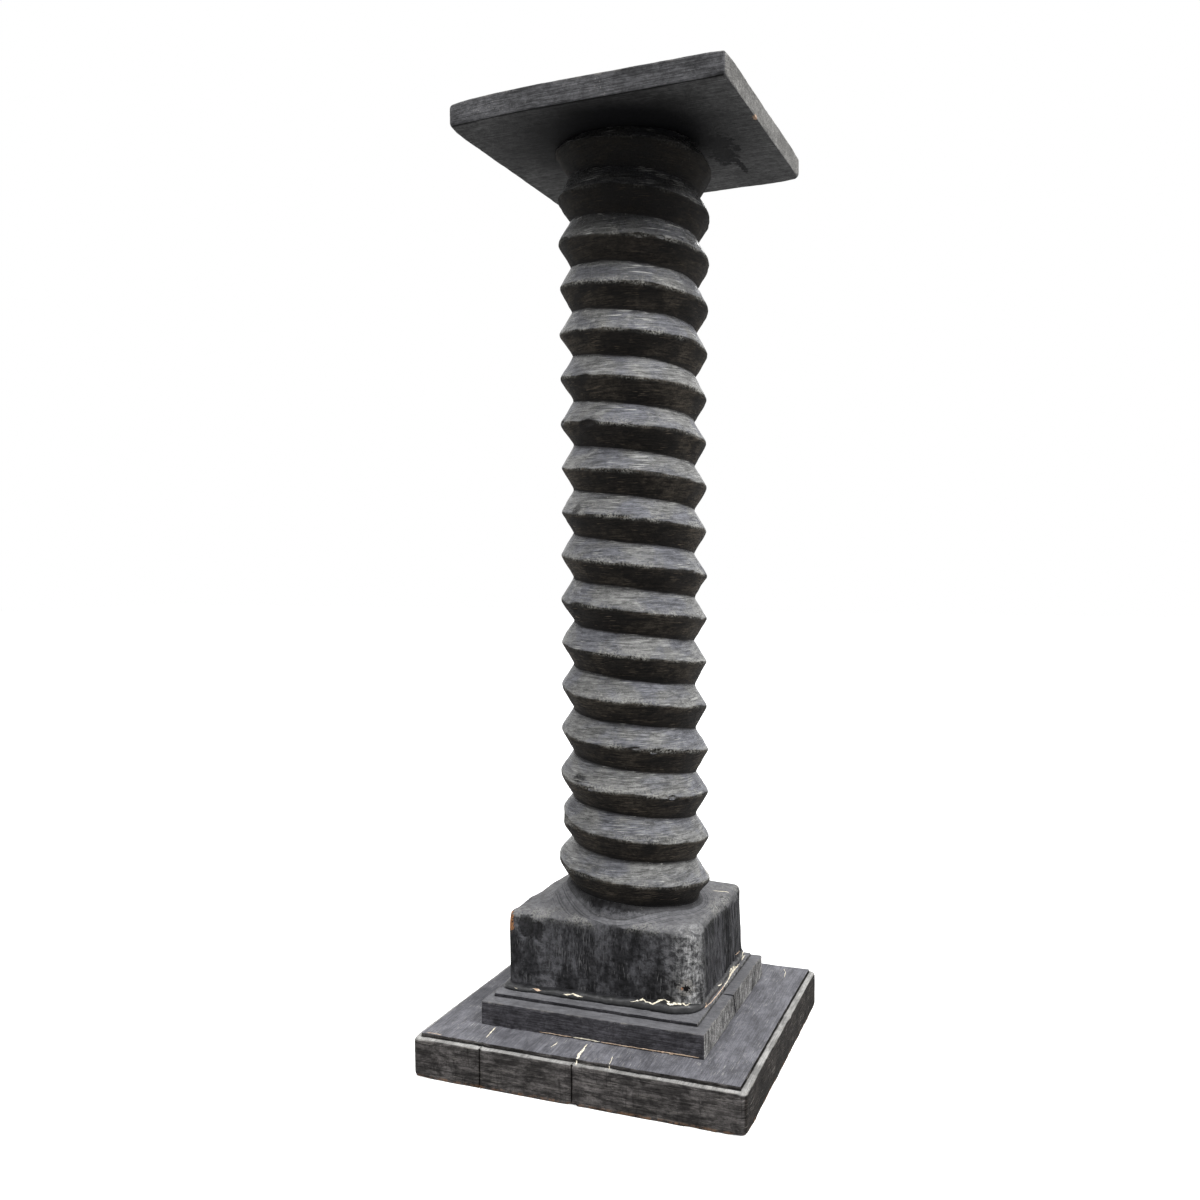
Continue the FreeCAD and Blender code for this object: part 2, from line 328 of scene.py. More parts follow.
class Finish:
    """A node material in the making."""

    def __init__(self, name, roughness=0.5, specular=0.5):
        self.material = bpy.data.materials.new(name)
        self.material.use_nodes = True
        self.tree = self.material.node_tree
        self.shader = self.tree.nodes["Principled BSDF"]
        self.feed(self.shader, "Roughness", roughness)
        self.feed(self.shader, "Specular IOR Level", specular)
        self.place = self.node("TexCoord", output="Object")

    def feed(self, node, name, value):
        """Joins a wire to an input, or sets the input to a number or colour."""
        if isinstance(value, Wire):
            self.tree.links.new(value.socket, node.inputs[name])
        else:
            node.inputs[name].default_value = value

    def node(self, kind, inputs=None, output=0, **settings):
        made = self.tree.nodes.new("ShaderNode" + kind)
        for key, value in settings.items():
            setattr(made, key, value)
        for key, value in (inputs or {}).items():
            self.feed(made, key, value)
        return Wire(self, made.outputs[output])

    def vector(self, operation, a, b=(0, 0, 0), output=0):
        return self.node("VectorMath", {0: a, 1: b}, output, operation=operation)

    def scaled(self, x, y, z):
        """Place on the object stretched so that lumps come out x, y and z millimetres long."""
        return self.vector("MULTIPLY", self.place, (1 / (x * MM), 1 / (y * MM), 1 / (z * MM)))

    def noise(self, vector, detail=4.0, rough=0.55, distortion=0.0):
        inputs = {"Vector": vector, "Scale": 1.0, "Detail": detail, "Roughness": rough,
                  "Distortion": distortion}
        return self.node("TexNoise", inputs, "Fac")

    def math(self, operation, a, b=0.0, clamp=False):
        return self.node("Math", {0: a, 1: b}, operation=operation, use_clamp=clamp)

    def span(self, value, low, high, out_low=0.0, out_high=1.0):
        """Value carried from low..high to out_low..out_high, held at the ends."""
        inputs = {"Value": value, "From Min": low, "From Max": high,
                  "To Min": out_low, "To Max": out_high}
        return self.node("MapRange", inputs, interpolation_type="SMOOTHSTEP")

    def mix(self, factor, a, b):
        return self.node("Mix", {0: factor, 6: a, 7: b}, 2, data_type="RGBA")

    def layered(self, colour, *layers):
        """Lays further colours over a colour, each where its own share is high."""
        for share, laid in layers:
            colour = self.mix(share, colour, laid)
        return colour

    def times(self, colour, factor):
        if isinstance(colour, tuple):
            colour = colour[:3]
        return self.node("VectorMath", {0: colour, 3: factor}, operation="SCALE")

    def pick(self, factor, a, b):
        """The number a where factor is 0 and b where it is 1."""
        return self.node("Mix", {0: factor, 2: a, 3: b}, data_type="FLOAT")

    def field(self, name):
        return self.node("Attribute", output="Fac", attribute_name=name)

    def facing(self, axis):
        """How far the surface faces along an axis, 0 for X, 1 for Y and 2 for Z: from -1 to 1."""
        normal = self.node("NewGeometry", output="Normal")
        return self.node("SeparateXYZ", {0: normal}, axis)

    def height(self):
        return self.node("SeparateXYZ", {0: self.place}, 2)

    def spot(self, centre, radii, ragged_edge=0.5, fine=3.0):
        """1 in an egg-shaped spot with a ragged edge, 0 outside. Its radii are in millimetres."""
        away = self.vector("SUBTRACT", self.place, tuple(centre))
        unit = self.vector("MULTIPLY", away, tuple(1 / (r * MM) for r in radii))
        distance = self.vector("LENGTH", unit, output="Value")
        lumpy = self.noise(self.scaled(fine, fine, fine))
        return self.span(distance + self.span(lumpy, 0.25, 0.75, -ragged_edge, ragged_edge), 1.15, 0.85)

    def finish(self, colour, rough, heights):
        """Joins colour, roughness and a list of (height, millimetres) bumps to the shader."""
        self.feed(self.shader, "Base Color", colour)
        self.feed(self.shader, "Roughness", rough)
        bump = {}
        for height, depth in heights:
            inputs = {"Height": height, "Distance": depth * MM, "Strength": 1.0}
            bump = {"Normal": self.node("Bump", {**inputs, **bump})}
        self.feed(self.shader, "Normal", bump["Normal"])
        return self.material


def stain(f, grain, mottle_size, blotchy):
    """What every stained face shares: tone along the grain, mottling, specks and pits."""
    s = SimpleNamespace()
    s.fibres = f.noise(f.scaled(*grain), 8.0, 0.75, 0.4)
    s.mottle = f.noise(f.scaled(mottle_size, mottle_size, mottle_size * 0.8), 8.0, 0.75, 0.25)
    s.clouds = f.noise(f.scaled(55, 55, 42), 4.0, 0.6, 0.5)
    s.grit = f.noise(f.scaled(2.3, 2.3, 2.3), 3.0, 0.75)
    s.blotches = f.span(s.mottle, 0.38, 0.62, 1 - blotchy, 1 + blotchy) \
        * f.span(s.clouds, 0.34, 0.66, 0.75, 1.25)
    s.tone = f.span(s.fibres, 0.4, 0.6, 0.55, 1.45) * s.blotches
    s.specks = f.span(s.grit, 0.62, 0.72) * f.span(s.clouds, 0.42, 0.62)
    s.pits = f.span(s.grit, 0.37, 0.28) * f.span(s.mottle, 0.6, 0.42)
    return s


def scratches(f, size, amount, patch_size=30):
    """Thin lines, longest along the largest of the three sizes."""
    line = f.noise(f.scaled(*size), 2.0, 0.5, 0.1)
    patch = f.noise(f.scaled(patch_size, patch_size, patch_size), 2.0, 0.5)
    return f.span(line, 0.6, 0.68) * f.span(patch, 0.46, 0.58, 0.0, amount)


def knot_layers(f):
    """Pale rim, bare fleck and black hole of the knot at the near right corner of the block."""
    x, y, z = knot_place
    rim = f.spot((x, y, z + 1 * MM), (8.5, 8.5, 7.5), 0.6, 2.5)
    fleck = f.spot((x - 4.5 * MM, y, z), (1.6, 3, 2), 0.6, 2.0)
    hole = f.spot(knot_place, (4.6, 4.6, 3.6), 0.6, 2.0)
    return (rim * 0.55, srgb(150, 147, 142)), (fleck, srgb(176, 128, 96)), (hole, srgb(8, 7, 7))


def cutter_rings(f):
    """1 in the rings round the axis that the cutter left on the shoulder."""
    from_axis = f.vector("SUBTRACT", f.place, (*column_axis, 0))
    reach = f.vector("LENGTH", f.vector("MULTIPLY", from_axis, (1, 1, 0)), output="Value")
    across = f.node("CombineXYZ", {0: reach * (1 / (2.4 * MM))})
    return f.span(f.noise(across, 3.0, 0.6), 0.5, 0.4) * f.span(reach, 118 * MM, 96 * MM, 0, 0.6)


def trunk_finish():
    """Black stain and old wax on the trunk: dusty grey on upper faces, brown-black below, with painted light
    on upper faces and painted shade below, under the top board and in the roots.
    """
    f = Finish("ebonised_trunk", specular=0.12)
    s = stain(f, (1.7, 1.7, 26), 7.5, 0.6)
    round_it = f.noise(f.scaled(26, 26, 2.4), 8.0, 0.8, 1.0)
    screw, worn, dark_round_dents, root, rubbed = (f.field(name) for name in trunk_fields)
    block = 1.0 - screw
    lit = f.facing(2) + f.span(s.clouds, 0.3, 0.7, -0.12, 0.12)
    # Upward faces are painted lighter, partly dust and partly painted light; the other faces get the darker
    # colours below.
    dust_and_painted_light = f.span(lit, f.pick(screw, 0.17, -0.02), f.pick(screw, 0.4, 0.42))
    side_on = f.span(abs(f.facing(0)), 0.35, 0.85)
    plain_side = 1.0 - f.math("MAXIMUM", screw, dust_and_painted_light)

    # Tone: turned lines on the screw, fibres on the block's sides, even on its shoulder.
    lines = f.span(round_it, 0.4, 0.6, f.pick(dust_and_painted_light, 0.2, 0.5), f.pick(dust_and_painted_light, 2.1, 1.5))
    spread = f.span(s.mottle, 0.38, 0.62, f.pick(dust_and_painted_light, 0.6, 0.82), f.pick(dust_and_painted_light, 1.4, 1.18))
    fibrous = f.span(s.fibres, 0.42, 0.58, 0.1, 2.2)
    upright = f.pick(side_on, s.blotches, fibrous)
    level = f.span(s.blotches, 0.5, 1.5, 0.8, 1.2)
    tone = f.pick(screw, f.pick(dust_and_painted_light, upright, level), spread * lines)

    patches = f.span(f.noise(f.scaled(24, 24, 60), 5.0, 0.65, 0.3), 0.42, 0.6)
    cloudy = f.span(s.clouds, 0.42, 0.6)
    front = f.mix(patches, srgb(38, 38, 40), srgb(80, 80, 83))
    # Lower flanks: brown-black stain, painted darker still as painted shade.
    underflank_stain_and_shade = f.mix(cloudy, srgb(22, 20, 18), srgb(50, 46, 41))
    flank = f.mix(cloudy, srgb(94, 95, 100), srgb(108, 108, 107))
    below = f.mix(screw, front, underflank_stain_and_shade)
    above = f.mix(screw, srgb(108, 108, 111), flank)
    colour = f.times(f.mix(dust_and_painted_light, below, above), tone)
    # Painted shade: the block's sides that face left and right are darkened to 0.55.
    colour = f.times(colour, f.pick(side_on * block, 1.0, 0.55))

    low_lines = scratches(f, (16, 16, 1.0), 0.6, 18) * f.math("SUBTRACT", screw, dust_and_painted_light, True)
    rings = cutter_rings(f) * f.math("SUBTRACT", dust_and_painted_light, screw, True)
    colour = f.layered(colour, (low_lines, srgb(112, 102, 90)), (rings, srgb(40, 40, 41)))
    # Painted shade under the top board: the trunk darkens towards the top.
    colour = f.times(colour, f.span(f.height(), 0.76, 1.01, 1.0, 0.2))

    wiped = rubbed * f.span(s.mottle, 0.36, 0.6, 0.2, 1.0)
    fuzz = scratches(f, (1.1, 1.1, 13), 0.75, 24) * plain_side
    smeared = f.spot((-0.045, -0.088, 0.142), (62, 20, 24), 0.5, 20.0)
    strokes = f.span(f.noise(f.scaled(1.6, 1.6, 9), 5.0, 0.65), 0.46, 0.64, 0.0, 0.6)
    grooves = scratches(f, (1.6, 1.6, 40), 0.95, 60) * side_on * plain_side
    # Pale wear on crests and edges, with painted glints along the block's arris; less of it near the top as
    # painted shade.
    edge = worn * f.span(s.grit, 0.42, 0.62, 0.0, 0.9) * f.span(f.height(), 0.9, 1.0, 1.0, 0.2)
    nicks = f.span(f.noise(f.scaled(9, 9, 1.7), 4.0, 0.6), 0.6, 0.67, 0.0, 0.9)
    ragged_dent_dark = dark_round_dents * f.span(s.grit, 0.34, 0.58, 0.45, 1.0)
    thin = scratches(f, (26, 26, 0.8), 0.8) * (screw * dust_and_painted_light)
    dark = f.spot((-0.094, -0.087, 0.1485), (17, 9, 14), 0.5, 9.0)
    bare = f.spot((-0.1172, -0.0815, 0.155), (5, 9, 11), 0.6)
    colour = f.layered(
        colour,
        (wiped, f.times(srgb(130, 130, 130), s.tone)),
        (fuzz, srgb(118, 118, 119)),
        (strokes * smeared * plain_side, srgb(92, 92, 95)),
        (grooves, srgb(11, 11, 11)),
        (edge, srgb(150, 149, 144)),
        (worn * nicks, srgb(18, 16, 15)),
        # Painted shade in the thread's roots and round the screw's foot.
        (root * 0.8, srgb(12, 11, 11)),
        (s.specks * f.span(dust_and_painted_light, 0.2, 1.0, 0.1, 0.7), srgb(176, 175, 170)),
        (s.pits * 0.9, srgb(13, 12, 12)),
        (ragged_dent_dark, srgb(20, 19, 19)),
        (thin, srgb(176, 176, 172)),
        (dark * 0.7, srgb(14, 13, 14)),
        (bare, f.mix(s.grit, srgb(120, 74, 44), srgb(214, 158, 112))),
        *knot_layers(f))
    satin = f.span(s.mottle + s.clouds, 0.8, 1.2, 0.38, 0.18)
    rough = f.pick(f.math("ADD", screw, 0.35, True) * dust_and_painted_light, 0.85, satin)
    heights = [(s.clouds, 0.5), (f.pick(screw, s.fibres, round_it), 1.3), (s.mottle, 1.2), (s.grit, 0.6)]
    return f.finish(colour, rough, heights)


def board_stain(name, grain, upright_grain, side, end, level, ends_face, specular=0.07):
    """Black stain on a board. grain and level are for what faces up or down, upright_grain and side
    for the upright faces, and end for those of them that look along the axis ends_face."""
    f = Finish(name, specular=specular)
    s = stain(f, grain, 7.0, 0.3)
    s.upright = f.span(abs(f.facing(2)), 0.7, 0.4)
    s.ends = f.span(abs(f.facing(ends_face)), 0.6, 0.9)
    s.waxed = f.span(s.mottle, 0.25, 0.75, 0.4, 0.64)
    lines = f.noise(f.scaled(*upright_grain), 8.0, 0.78, 0.5)
    lined = f.span(lines, 0.4, 0.6, 0.5, 1.5) * s.blotches
    colour = f.mix(s.upright, level, f.mix(s.ends, side, end))
    colour = f.mix(f.field("ledge") * f.span(f.facing(2), 0.2, 0.7), colour, srgb(146, 145, 143))
    colour = f.times(colour, f.pick(s.upright, f.span(s.tone, 0.4, 1.6, 0.72, 1.28), lined))
    colour = f.layered(
        colour,
        (f.field("worn") * f.span(s.mottle, 0.4, 0.62, 0.0, 0.7), srgb(128, 125, 119)),
        (s.specks * 0.55, srgb(176, 172, 166)),
        (s.pits * 0.85, srgb(18, 17, 17)),
        # painted shade along the feet of the steps
        (f.field("grime"), srgb(10, 10, 10)))
    s.heights = [(s.clouds, 0.4), (f.pick(s.upright, s.fibres, lines), 0.7), (s.mottle, 0.7), (s.grit, 0.4)]
    return f, s, colour


def base_finish():
    """Base boards: blue-grey panel with pale scratches, light dusty border, brown-black sides."""
    f, s, colour = board_stain("ebonised_base", (1.3, 34, 1.3), (40, 40, 1.8), srgb(38, 35, 33),
                               srgb(86, 83, 82), srgb(98, 98, 103), 1)
    level = 1.0 - s.upright
    colour = f.mix(scratches(f, (0.8, 16, 8), 0.5) * level, colour, srgb(176, 174, 170))
    smudge = f.noise(f.scaled(16, 40, 16), 5.0, 0.65, 0.4)
    colour = f.times(colour, f.pick(level, 1.0, f.span(smudge, 0.4, 0.58, 0.78, 1.1)))
    colour = f.mix(scratches(f, (24, 24, 0.8), 0.7) * s.upright, colour, srgb(140, 136, 131))
    stains = f.noise(f.scaled(26, 26, 12), 5.0, 0.65, 0.6)
    colour = f.times(colour, f.pick(s.upright, 1.0, f.span(stains, 0.42, 0.56, 0.5, 1.12)))
    scuffed = f.span(f.height(), 5 * MM, 1 * MM) * f.span(s.mottle, 0.46, 0.58, 0.0, 0.9)
    colour = f.layered(
        colour,
        (scratches(f, (2.0, 2.0, 26), 0.45, 60) * s.upright, srgb(24, 23, 23)),
        (scuffed, srgb(150, 116, 88)))
    return f.finish(colour, f.pick(s.upright, s.waxed, 0.85), s.heights)


def plinth_finish():
    """Plinth boards: smooth dark front, lighter rough end grain on the sides."""
    f, s, colour = board_stain("ebonised_plinth", (34, 1.3, 1.3), (34, 1.3, 1.3), srgb(70, 69, 73),
                               srgb(138, 137, 136), srgb(96, 96, 99), 0)
    colour = f.mix(scratches(f, (1.4, 1.4, 40), 0.95, 24) * s.ends, colour, srgb(26, 25, 25))
    gaps = f.noise(f.scaled(2.4, 2.4, 60), 3.0, 0.6)
    colour = f.times(colour, f.pick(s.ends, 1.0, f.span(gaps, 0.38, 0.5, 0.3, 1.08)))
    blotted = f.noise(f.scaled(9, 9, 22), 5.0, 0.7, 0.3)
    colour = f.times(colour, f.pick(s.ends, 1.0, f.span(blotted, 0.4, 0.58, 0.55, 1.3)))
    return f.finish(colour, f.pick(s.upright, s.waxed, 0.85), s.heights)


def top_finish():
    """Top board: streaked edges, and an underside painted black round the screw, as stain and as painted
    shade.
    """
    f, s, colour = board_stain("ebonised_top", (34, 1.3, 1.3), (34, 3.0, 1.3), srgb(76, 76, 78),
                               srgb(106, 105, 103), srgb(88, 88, 90), 0, 0.05)
    under = f.span(f.facing(2), -0.5, -0.85)
    # Black round the screw on the underside: dark stain and painted shade.
    away = f.vector("DISTANCE", f.place, stain_and_shade_middle, "Value")
    black = f.span(away, 185 * MM, 75 * MM)
    smeared = f.times(f.mix(black, srgb(96, 96, 96), srgb(4, 4, 5)), s.tone)
    drips = [f.spot((*centre, top_under_z), (*size, 10), 0.5, 6.0) * under for centre, size in black_drips]
    chip = f.spot((0.1634, -0.048, top_under_z), (3, 5, 3), 0.5, 2.0)
    dots = [f.spot((x, y, top_under_z), (2, 2, 2), 0.3, 1.0) for x, y in pale_dots]
    colour = f.layered(
        colour,
        (under, smeared),
        (f.field("lip") * under, srgb(4, 4, 4)),
        *((drip, srgb(3, 3, 4)) for drip in drips),
        (chip, srgb(190, 160, 136)),
        *((dot, srgb(130, 128, 120)) for dot in dots))
    return f.finish(colour, f.pick(under, s.waxed, 0.75), s.heights)


def plain_finish(name, low, high, sizes, roughness, depth=0.2, metallic=0.0):
    """Two close tones of one stuff, mottled at the given size, with a fine grain."""
    f = Finish(name, specular=0.4)
    f.feed(f.shader, "Metallic", metallic)
    mottle = f.noise(f.scaled(*sizes), 6.0, 0.6, 0.3)
    grit = f.noise(f.scaled(0.9, 0.9, 0.9), 3.0, 0.6)
    colour = f.mix(f.span(mottle, 0.3, 0.7), srgb(*low), srgb(*high))
    return f.finish(colour, f.span(grit, 0.3, 0.7, *roughness), [(mottle, depth), (grit, depth / 2)])


# ---- Trunk: the screw ----
def crest_radius(z):
    middle = (shoulder_z + top_under_z) / 2
    half = (top_under_z - shoulder_z) / 2
    return crest_radius_waist + crest_radius_swell * ((z - middle) / half) ** 2


def soft_step(x, bend_low, bend_high):
    """0 below 0 and 1 above 1, with rounded bends."""
    low = (x + np.sqrt(x * x + bend_low ** 2)) / 2
    rest = 1 - low
    return 1 - (rest + np.sqrt(rest * rest + bend_high ** 2)) / 2


def on_thread(angle, z, radius=86.0):
    """Point beside the crest at an angle in degrees and a height in millimetres."""
    a = math.radians(angle)
    return (column_axis[0] + radius * MM * math.cos(a), column_axis[1] + radius * MM * math.sin(a),
            z * MM)


def thread_strip(turn, offset):
    """Points of the strip at these turns and offsets from the crest's height, the way out of its
    surface, and how far down the flank each point is: 0 on the crest and 1 at the root."""
    half = thread_pitch / 2
    angle = -2 * math.pi * turn
    bearing = np.degrees((angle + math.pi) % (2 * math.pi) - math.pi)
    regular_z = turn * thread_pitch + crest_height_at_x + offset

    # Low on the left the crests are worn blunt, and the lowest stands proud and a little high.
    leftward = bell(np.abs(bearing), 160, 34)
    blunt = leftward * smooth(400 * MM, 300 * MM, regular_z)
    second = leftward * bell(regular_z, 274 * MM, 18 * MM, 4)
    lowest = bell(bearing, -135, 34) * bell(regular_z, 221 * MM, 17 * MM, 4)

    root_flat = 2.6 * MM
    flat = (3.2 + knots(turn, 0.12, 10, 1.2) + 4.0 * blunt + 13.0 * second) * MM
    share = soft_step((np.abs(offset) - flat / 2) / (half - root_flat / 2 - flat / 2), 0.05, 0.05)
    near_crest = 1 - share
    line_z = knots(turn, 0.085, 5, 1.3 * MM) + knots(turn, 0.035, 8, 0.6 * MM)
    z = regular_z + line_z * smooth(half, 8 * MM, np.abs(offset)) + 4.0 * MM * lowest * near_crest
    line_r = knots(turn, 0.085, 6, 1.0 * MM) + knots(turn, 0.03, 9, 0.5 * MM)
    r = crest_radius(regular_z) - thread_depth * share + 0.4 * MM
    r = r + (line_r + 2.6 * MM * lowest - 4.0 * MM * second) * near_crest
    r = r + knots(turn, 0.1, 7, 0.7 * MM) * share

    # Below the foot the crest is cut back, so that the turn stays inside the shoulder all round.
    behind = smooth(196 * MM, 186 * MM, regular_z) * smooth(110, 80, np.abs(bearing - 100))
    below_foot = smooth(0, 4 * MM, foot_height(bearing) - regular_z)
    in_front = smooth(0.66, 0.56, round_from_low(bearing))
    r = r - np.maximum(9 * MM * behind, thread_depth * below_foot * in_front) * near_crest

    cos, sin = np.cos(angle) + 0 * r, np.sin(angle) + 0 * r
    points = np.stack([column_axis[0] + r * cos, column_axis[1] + r * sin, z], -1)
    outward = np.stack([cos, sin, np.sign(offset) * 0.7 * (share > 0.02)], -1)
    return points, outward / np.linalg.norm(outward, axis=-1, keepdims=True), share


def carved(points, outward, share):
    """Facets and lumps that the tool left, and crests nibbled here and there."""
    carve = 0.8 * MM * lumps(points, (26 * MM, 26 * MM, 14 * MM), 11, flat=True)
    carve += 0.35 * MM * lumps(points, (9 * MM, 9 * MM, 5 * MM), 12)
    carve += 1.0 * MM * lumps(points, 150 * MM, 13)
    nibbled = smooth(0.2, 0.8, ragged(points, (13 * MM, 13 * MM, 6 * MM), 14))
    carve -= 0.7 * MM * nibbled * smooth(0.45, 0.1, share)
    return points + outward * carve[..., None]


def dented(points, first, last):
    """Small nicks all along the crest from the first turn to the last, and the larger dents."""
    random = np.random.default_rng(15)
    for place in random.uniform(first + 1.5, last - 1.5, 90):
        size = random.uniform(1.6, 3.6)
        height = (place * thread_pitch + crest_height_at_x) / MM + random.uniform(-1.5, 1.5)
        centre = on_thread(-360 * place, height, 88.5 + random.uniform(-1, 1))
        points = bite(points, centre, np.array((size * 1.4, size * 1.4, size)) * MM)
    for bearing, height, along, deep, tall in thread_dents:
        centre = np.array(on_thread(bearing, height, 87.5))
        cos, sin = math.cos(math.radians(bearing)), math.sin(math.radians(bearing))
        axes = np.array(((-sin, cos, 0), (cos, sin, 0), (0, 0, 1))).T
        egg = np.array((along, deep + 1.5, tall)) * MM
        points = centre + bite((points - centre) @ axes, (0, 0, 0), egg) @ axes.T
    return points


def screw_shell():
    """The thread as one strip that winds up the screw, each turn joined to the one below."""
    above_crest = np.array((0.7, 1.6, 2.5, 3.5, 5.0, 7.4, 10.4, 13.6, 16.8, 19.8, 22.4, 24.4)) * MM
    offset = np.r_[-thread_pitch / 2, -above_crest[::-1], above_crest]
    first = math.floor((arris_z - 40 * MM - crest_height_at_x) / thread_pitch) - 1
    last = math.ceil((top_under_z - crest_height_at_x) / thread_pitch) + 1
    turn = np.arange(first * columns_per_turn, last * columns_per_turn + 1) / columns_per_turn
    points = dented(carved(*thread_strip(turn[:, None], offset[None, :])), first, last)
    ids = np.arange(len(turn) * len(offset)).reshape(len(turn), len(offset))
    above = np.full((len(turn), 1), -1)
    above[:-columns_per_turn, 0] = ids[columns_per_turn:, 0]
    faces = grid_faces(np.concatenate([ids, above], 1))
    return points.reshape(-1, 3), faces[(faces >= 0).all(1)][:, ::-1]


# ---- Trunk: the block ----
def block_outline(count, grow=0.0):
    """Points and outward directions round the foot of the block, from the near left corner."""
    x0, x1 = column_axis[0] + block_sides
    y0, y1 = column_axis[1] + block_ends
    near_left, near_right, far_right, far_left = block_radii
    centres = ((x0 + near_left, y0 + near_left), (x1 - near_right, y0 + near_right),
               (x1 - far_right, y1 - far_right), (x0 + far_left, y1 - far_left))
    places, ways = [], []
    for i, (x, y) in enumerate(centres):
        radius = block_radii[i] + grow
        steps = max(3, round(radius / (2.2 * MM)))
        for a in math.pi + (i + np.linspace(0, 1, steps + 1)) * math.pi / 2:
            places.append((x + radius * math.cos(a), y + radius * math.sin(a)))
            ways.append((math.cos(a), math.sin(a)))
    places, ways = np.array(places + places[:1]), np.array(ways + ways[:1])
    run = np.r_[0, np.cumsum(np.linalg.norm(np.diff(places, axis=0), axis=1))]
    at = np.linspace(0, run[-1], count, endpoint=False)
    point = np.stack([np.interp(at, run, places[:, k]) for k in (0, 1)], -1)
    way = np.stack([np.interp(at, run, ways[:, k]) for k in (0, 1)], -1)
    return point, way / np.linalg.norm(way, axis=-1, keepdims=True)


def round_from_low(bearing):
    """Share of a turn from the lowest place of the foot, the way that the thread climbs."""
    return ((foot_low_bearing - bearing) % 360) / 360


def foot_height(bearing):
    """Height of the shoulder's inner edge, which climbs with the thread and drops at the back."""
    way_round = round_from_low(bearing)
    return foot_low_z + thread_pitch * way_round * smooth(1.0, 0.6, way_round)


def turning_marks(reach, bearing):
    """Height of the rings that the cutter left on the shoulder, deepest at the near left."""
    rings = lumps(np.stack([reach, 0 * reach, 0 * reach], -1), 4.4 * MM, 28)
    return rings * (0.25 + 0.9 * bell(bearing, -145, 26)) * MM


def block_shell():
    """Upright grooved sides, a bruised arris and a shoulder that rises to the screw."""
    columns, side_rings, arris_rings, shoulder_rings = 440, 34, 8, 30
    place, way = block_outline(columns)
    toward = np.degrees(np.arctan2(way[:, 1], way[:, 0]))
    soft = bell(toward, -32, 30)       # the near right of the arris is worn most
    soft = soft + 0.14 * ragged(np.c_[place, place[:, 0]], 30 * MM, 20)
    drop = arris_drop * (1 + 2.0 * np.clip(soft, -0.15, 1) - 0.35 * smooth(0.5, 1, -way[:, 0]))
    inset = arris_inset * (1 + 1.7 * np.clip(soft, -0.15, 1))
    rings = []
    for share in np.linspace(0, 1, side_rings):
        z = step_z + (arris_z - drop - step_z) * share
        rings.append(np.concatenate([place - way * block_taper * share, z[:, None]], 1))
    for turned in np.linspace(0, math.pi / 2, arris_rings + 1)[1:]:
        back = block_taper + inset * (1 - math.cos(turned))
        z = arris_z - drop * (1 - math.sin(turned))
        rings.append(np.concatenate([place - way * back[:, None], z[:, None]], 1))
    rim = rings[-1]
    rim_reach, bearing = round_axis(rim)
    circle = column_axis + (rim[:, :2] - column_axis) * (shoulder_inner / rim_reach)[:, None]
    foot = foot_height(bearing)
    for t in np.linspace(0, 1, shoulder_rings + 1)[1:]:
        flat = rim[:, :2] * (1 - t) + circle * t
        reach, bearing = round_axis(flat)
        climb = np.clip((rim_reach - reach) / (rim_reach - foot_radius), 0, 1)
        z = rim[:, 2] + (foot - rim[:, 2]) * (0.3 * climb + 0.7 * climb ** 3)
        z = z + turning_marks(reach, bearing) * smooth(0, 0.3, climb)
        rings.append(np.concatenate([flat, z[:, None]], 1))
    points = np.stack(rings)
    ways = np.concatenate([way, np.zeros((columns, 1))], 1)[None]
    sides = smooth(arris_z + 2 * MM, arris_z - 12 * MM, points[..., 2])
    grooves = lumps(points, (5.5 * MM, 5.5 * MM, 160 * MM), 21)
    grooves += 0.5 * lumps(points, (2.6 * MM, 2.6 * MM, 90 * MM), 22)
    depth = (0.22 + 1.3 * smooth(0.3, 0.95, np.abs(ways[..., 0]))) * MM
    push = depth * grooves * sides + 0.8 * MM * lumps(points, 60 * MM, 23)
    push += 0.8 * MM * lumps(points, 16 * MM, 24, flat=True)
    bruise = bell(points[..., 2], arris_z - 3 * MM, 8 * MM)
    push -= bruise * 1.6 * MM * smooth(0.05, 0.7, ragged(points, (22 * MM, 22 * MM, 12 * MM), 25))
    points = points + ways * (push * (0.1 + 0.9 * sides))[..., None]
    points[..., 2] -= bruise * 1.3 * MM * ragged(points, 30 * MM, 26)
    level = smooth(arris_z - 4 * MM, arris_z + 3 * MM, points[..., 2])
    points[..., 2] += level * 0.6 * MM * ragged(points, 18 * MM, 27)
    points[0, :, 2] = step_z
    points = bite(points, knot_place, (3.6 * MM, 3.6 * MM, 3.0 * MM))
    return points.reshape(-1, 3), grid_faces(round_table(len(points), columns).T)


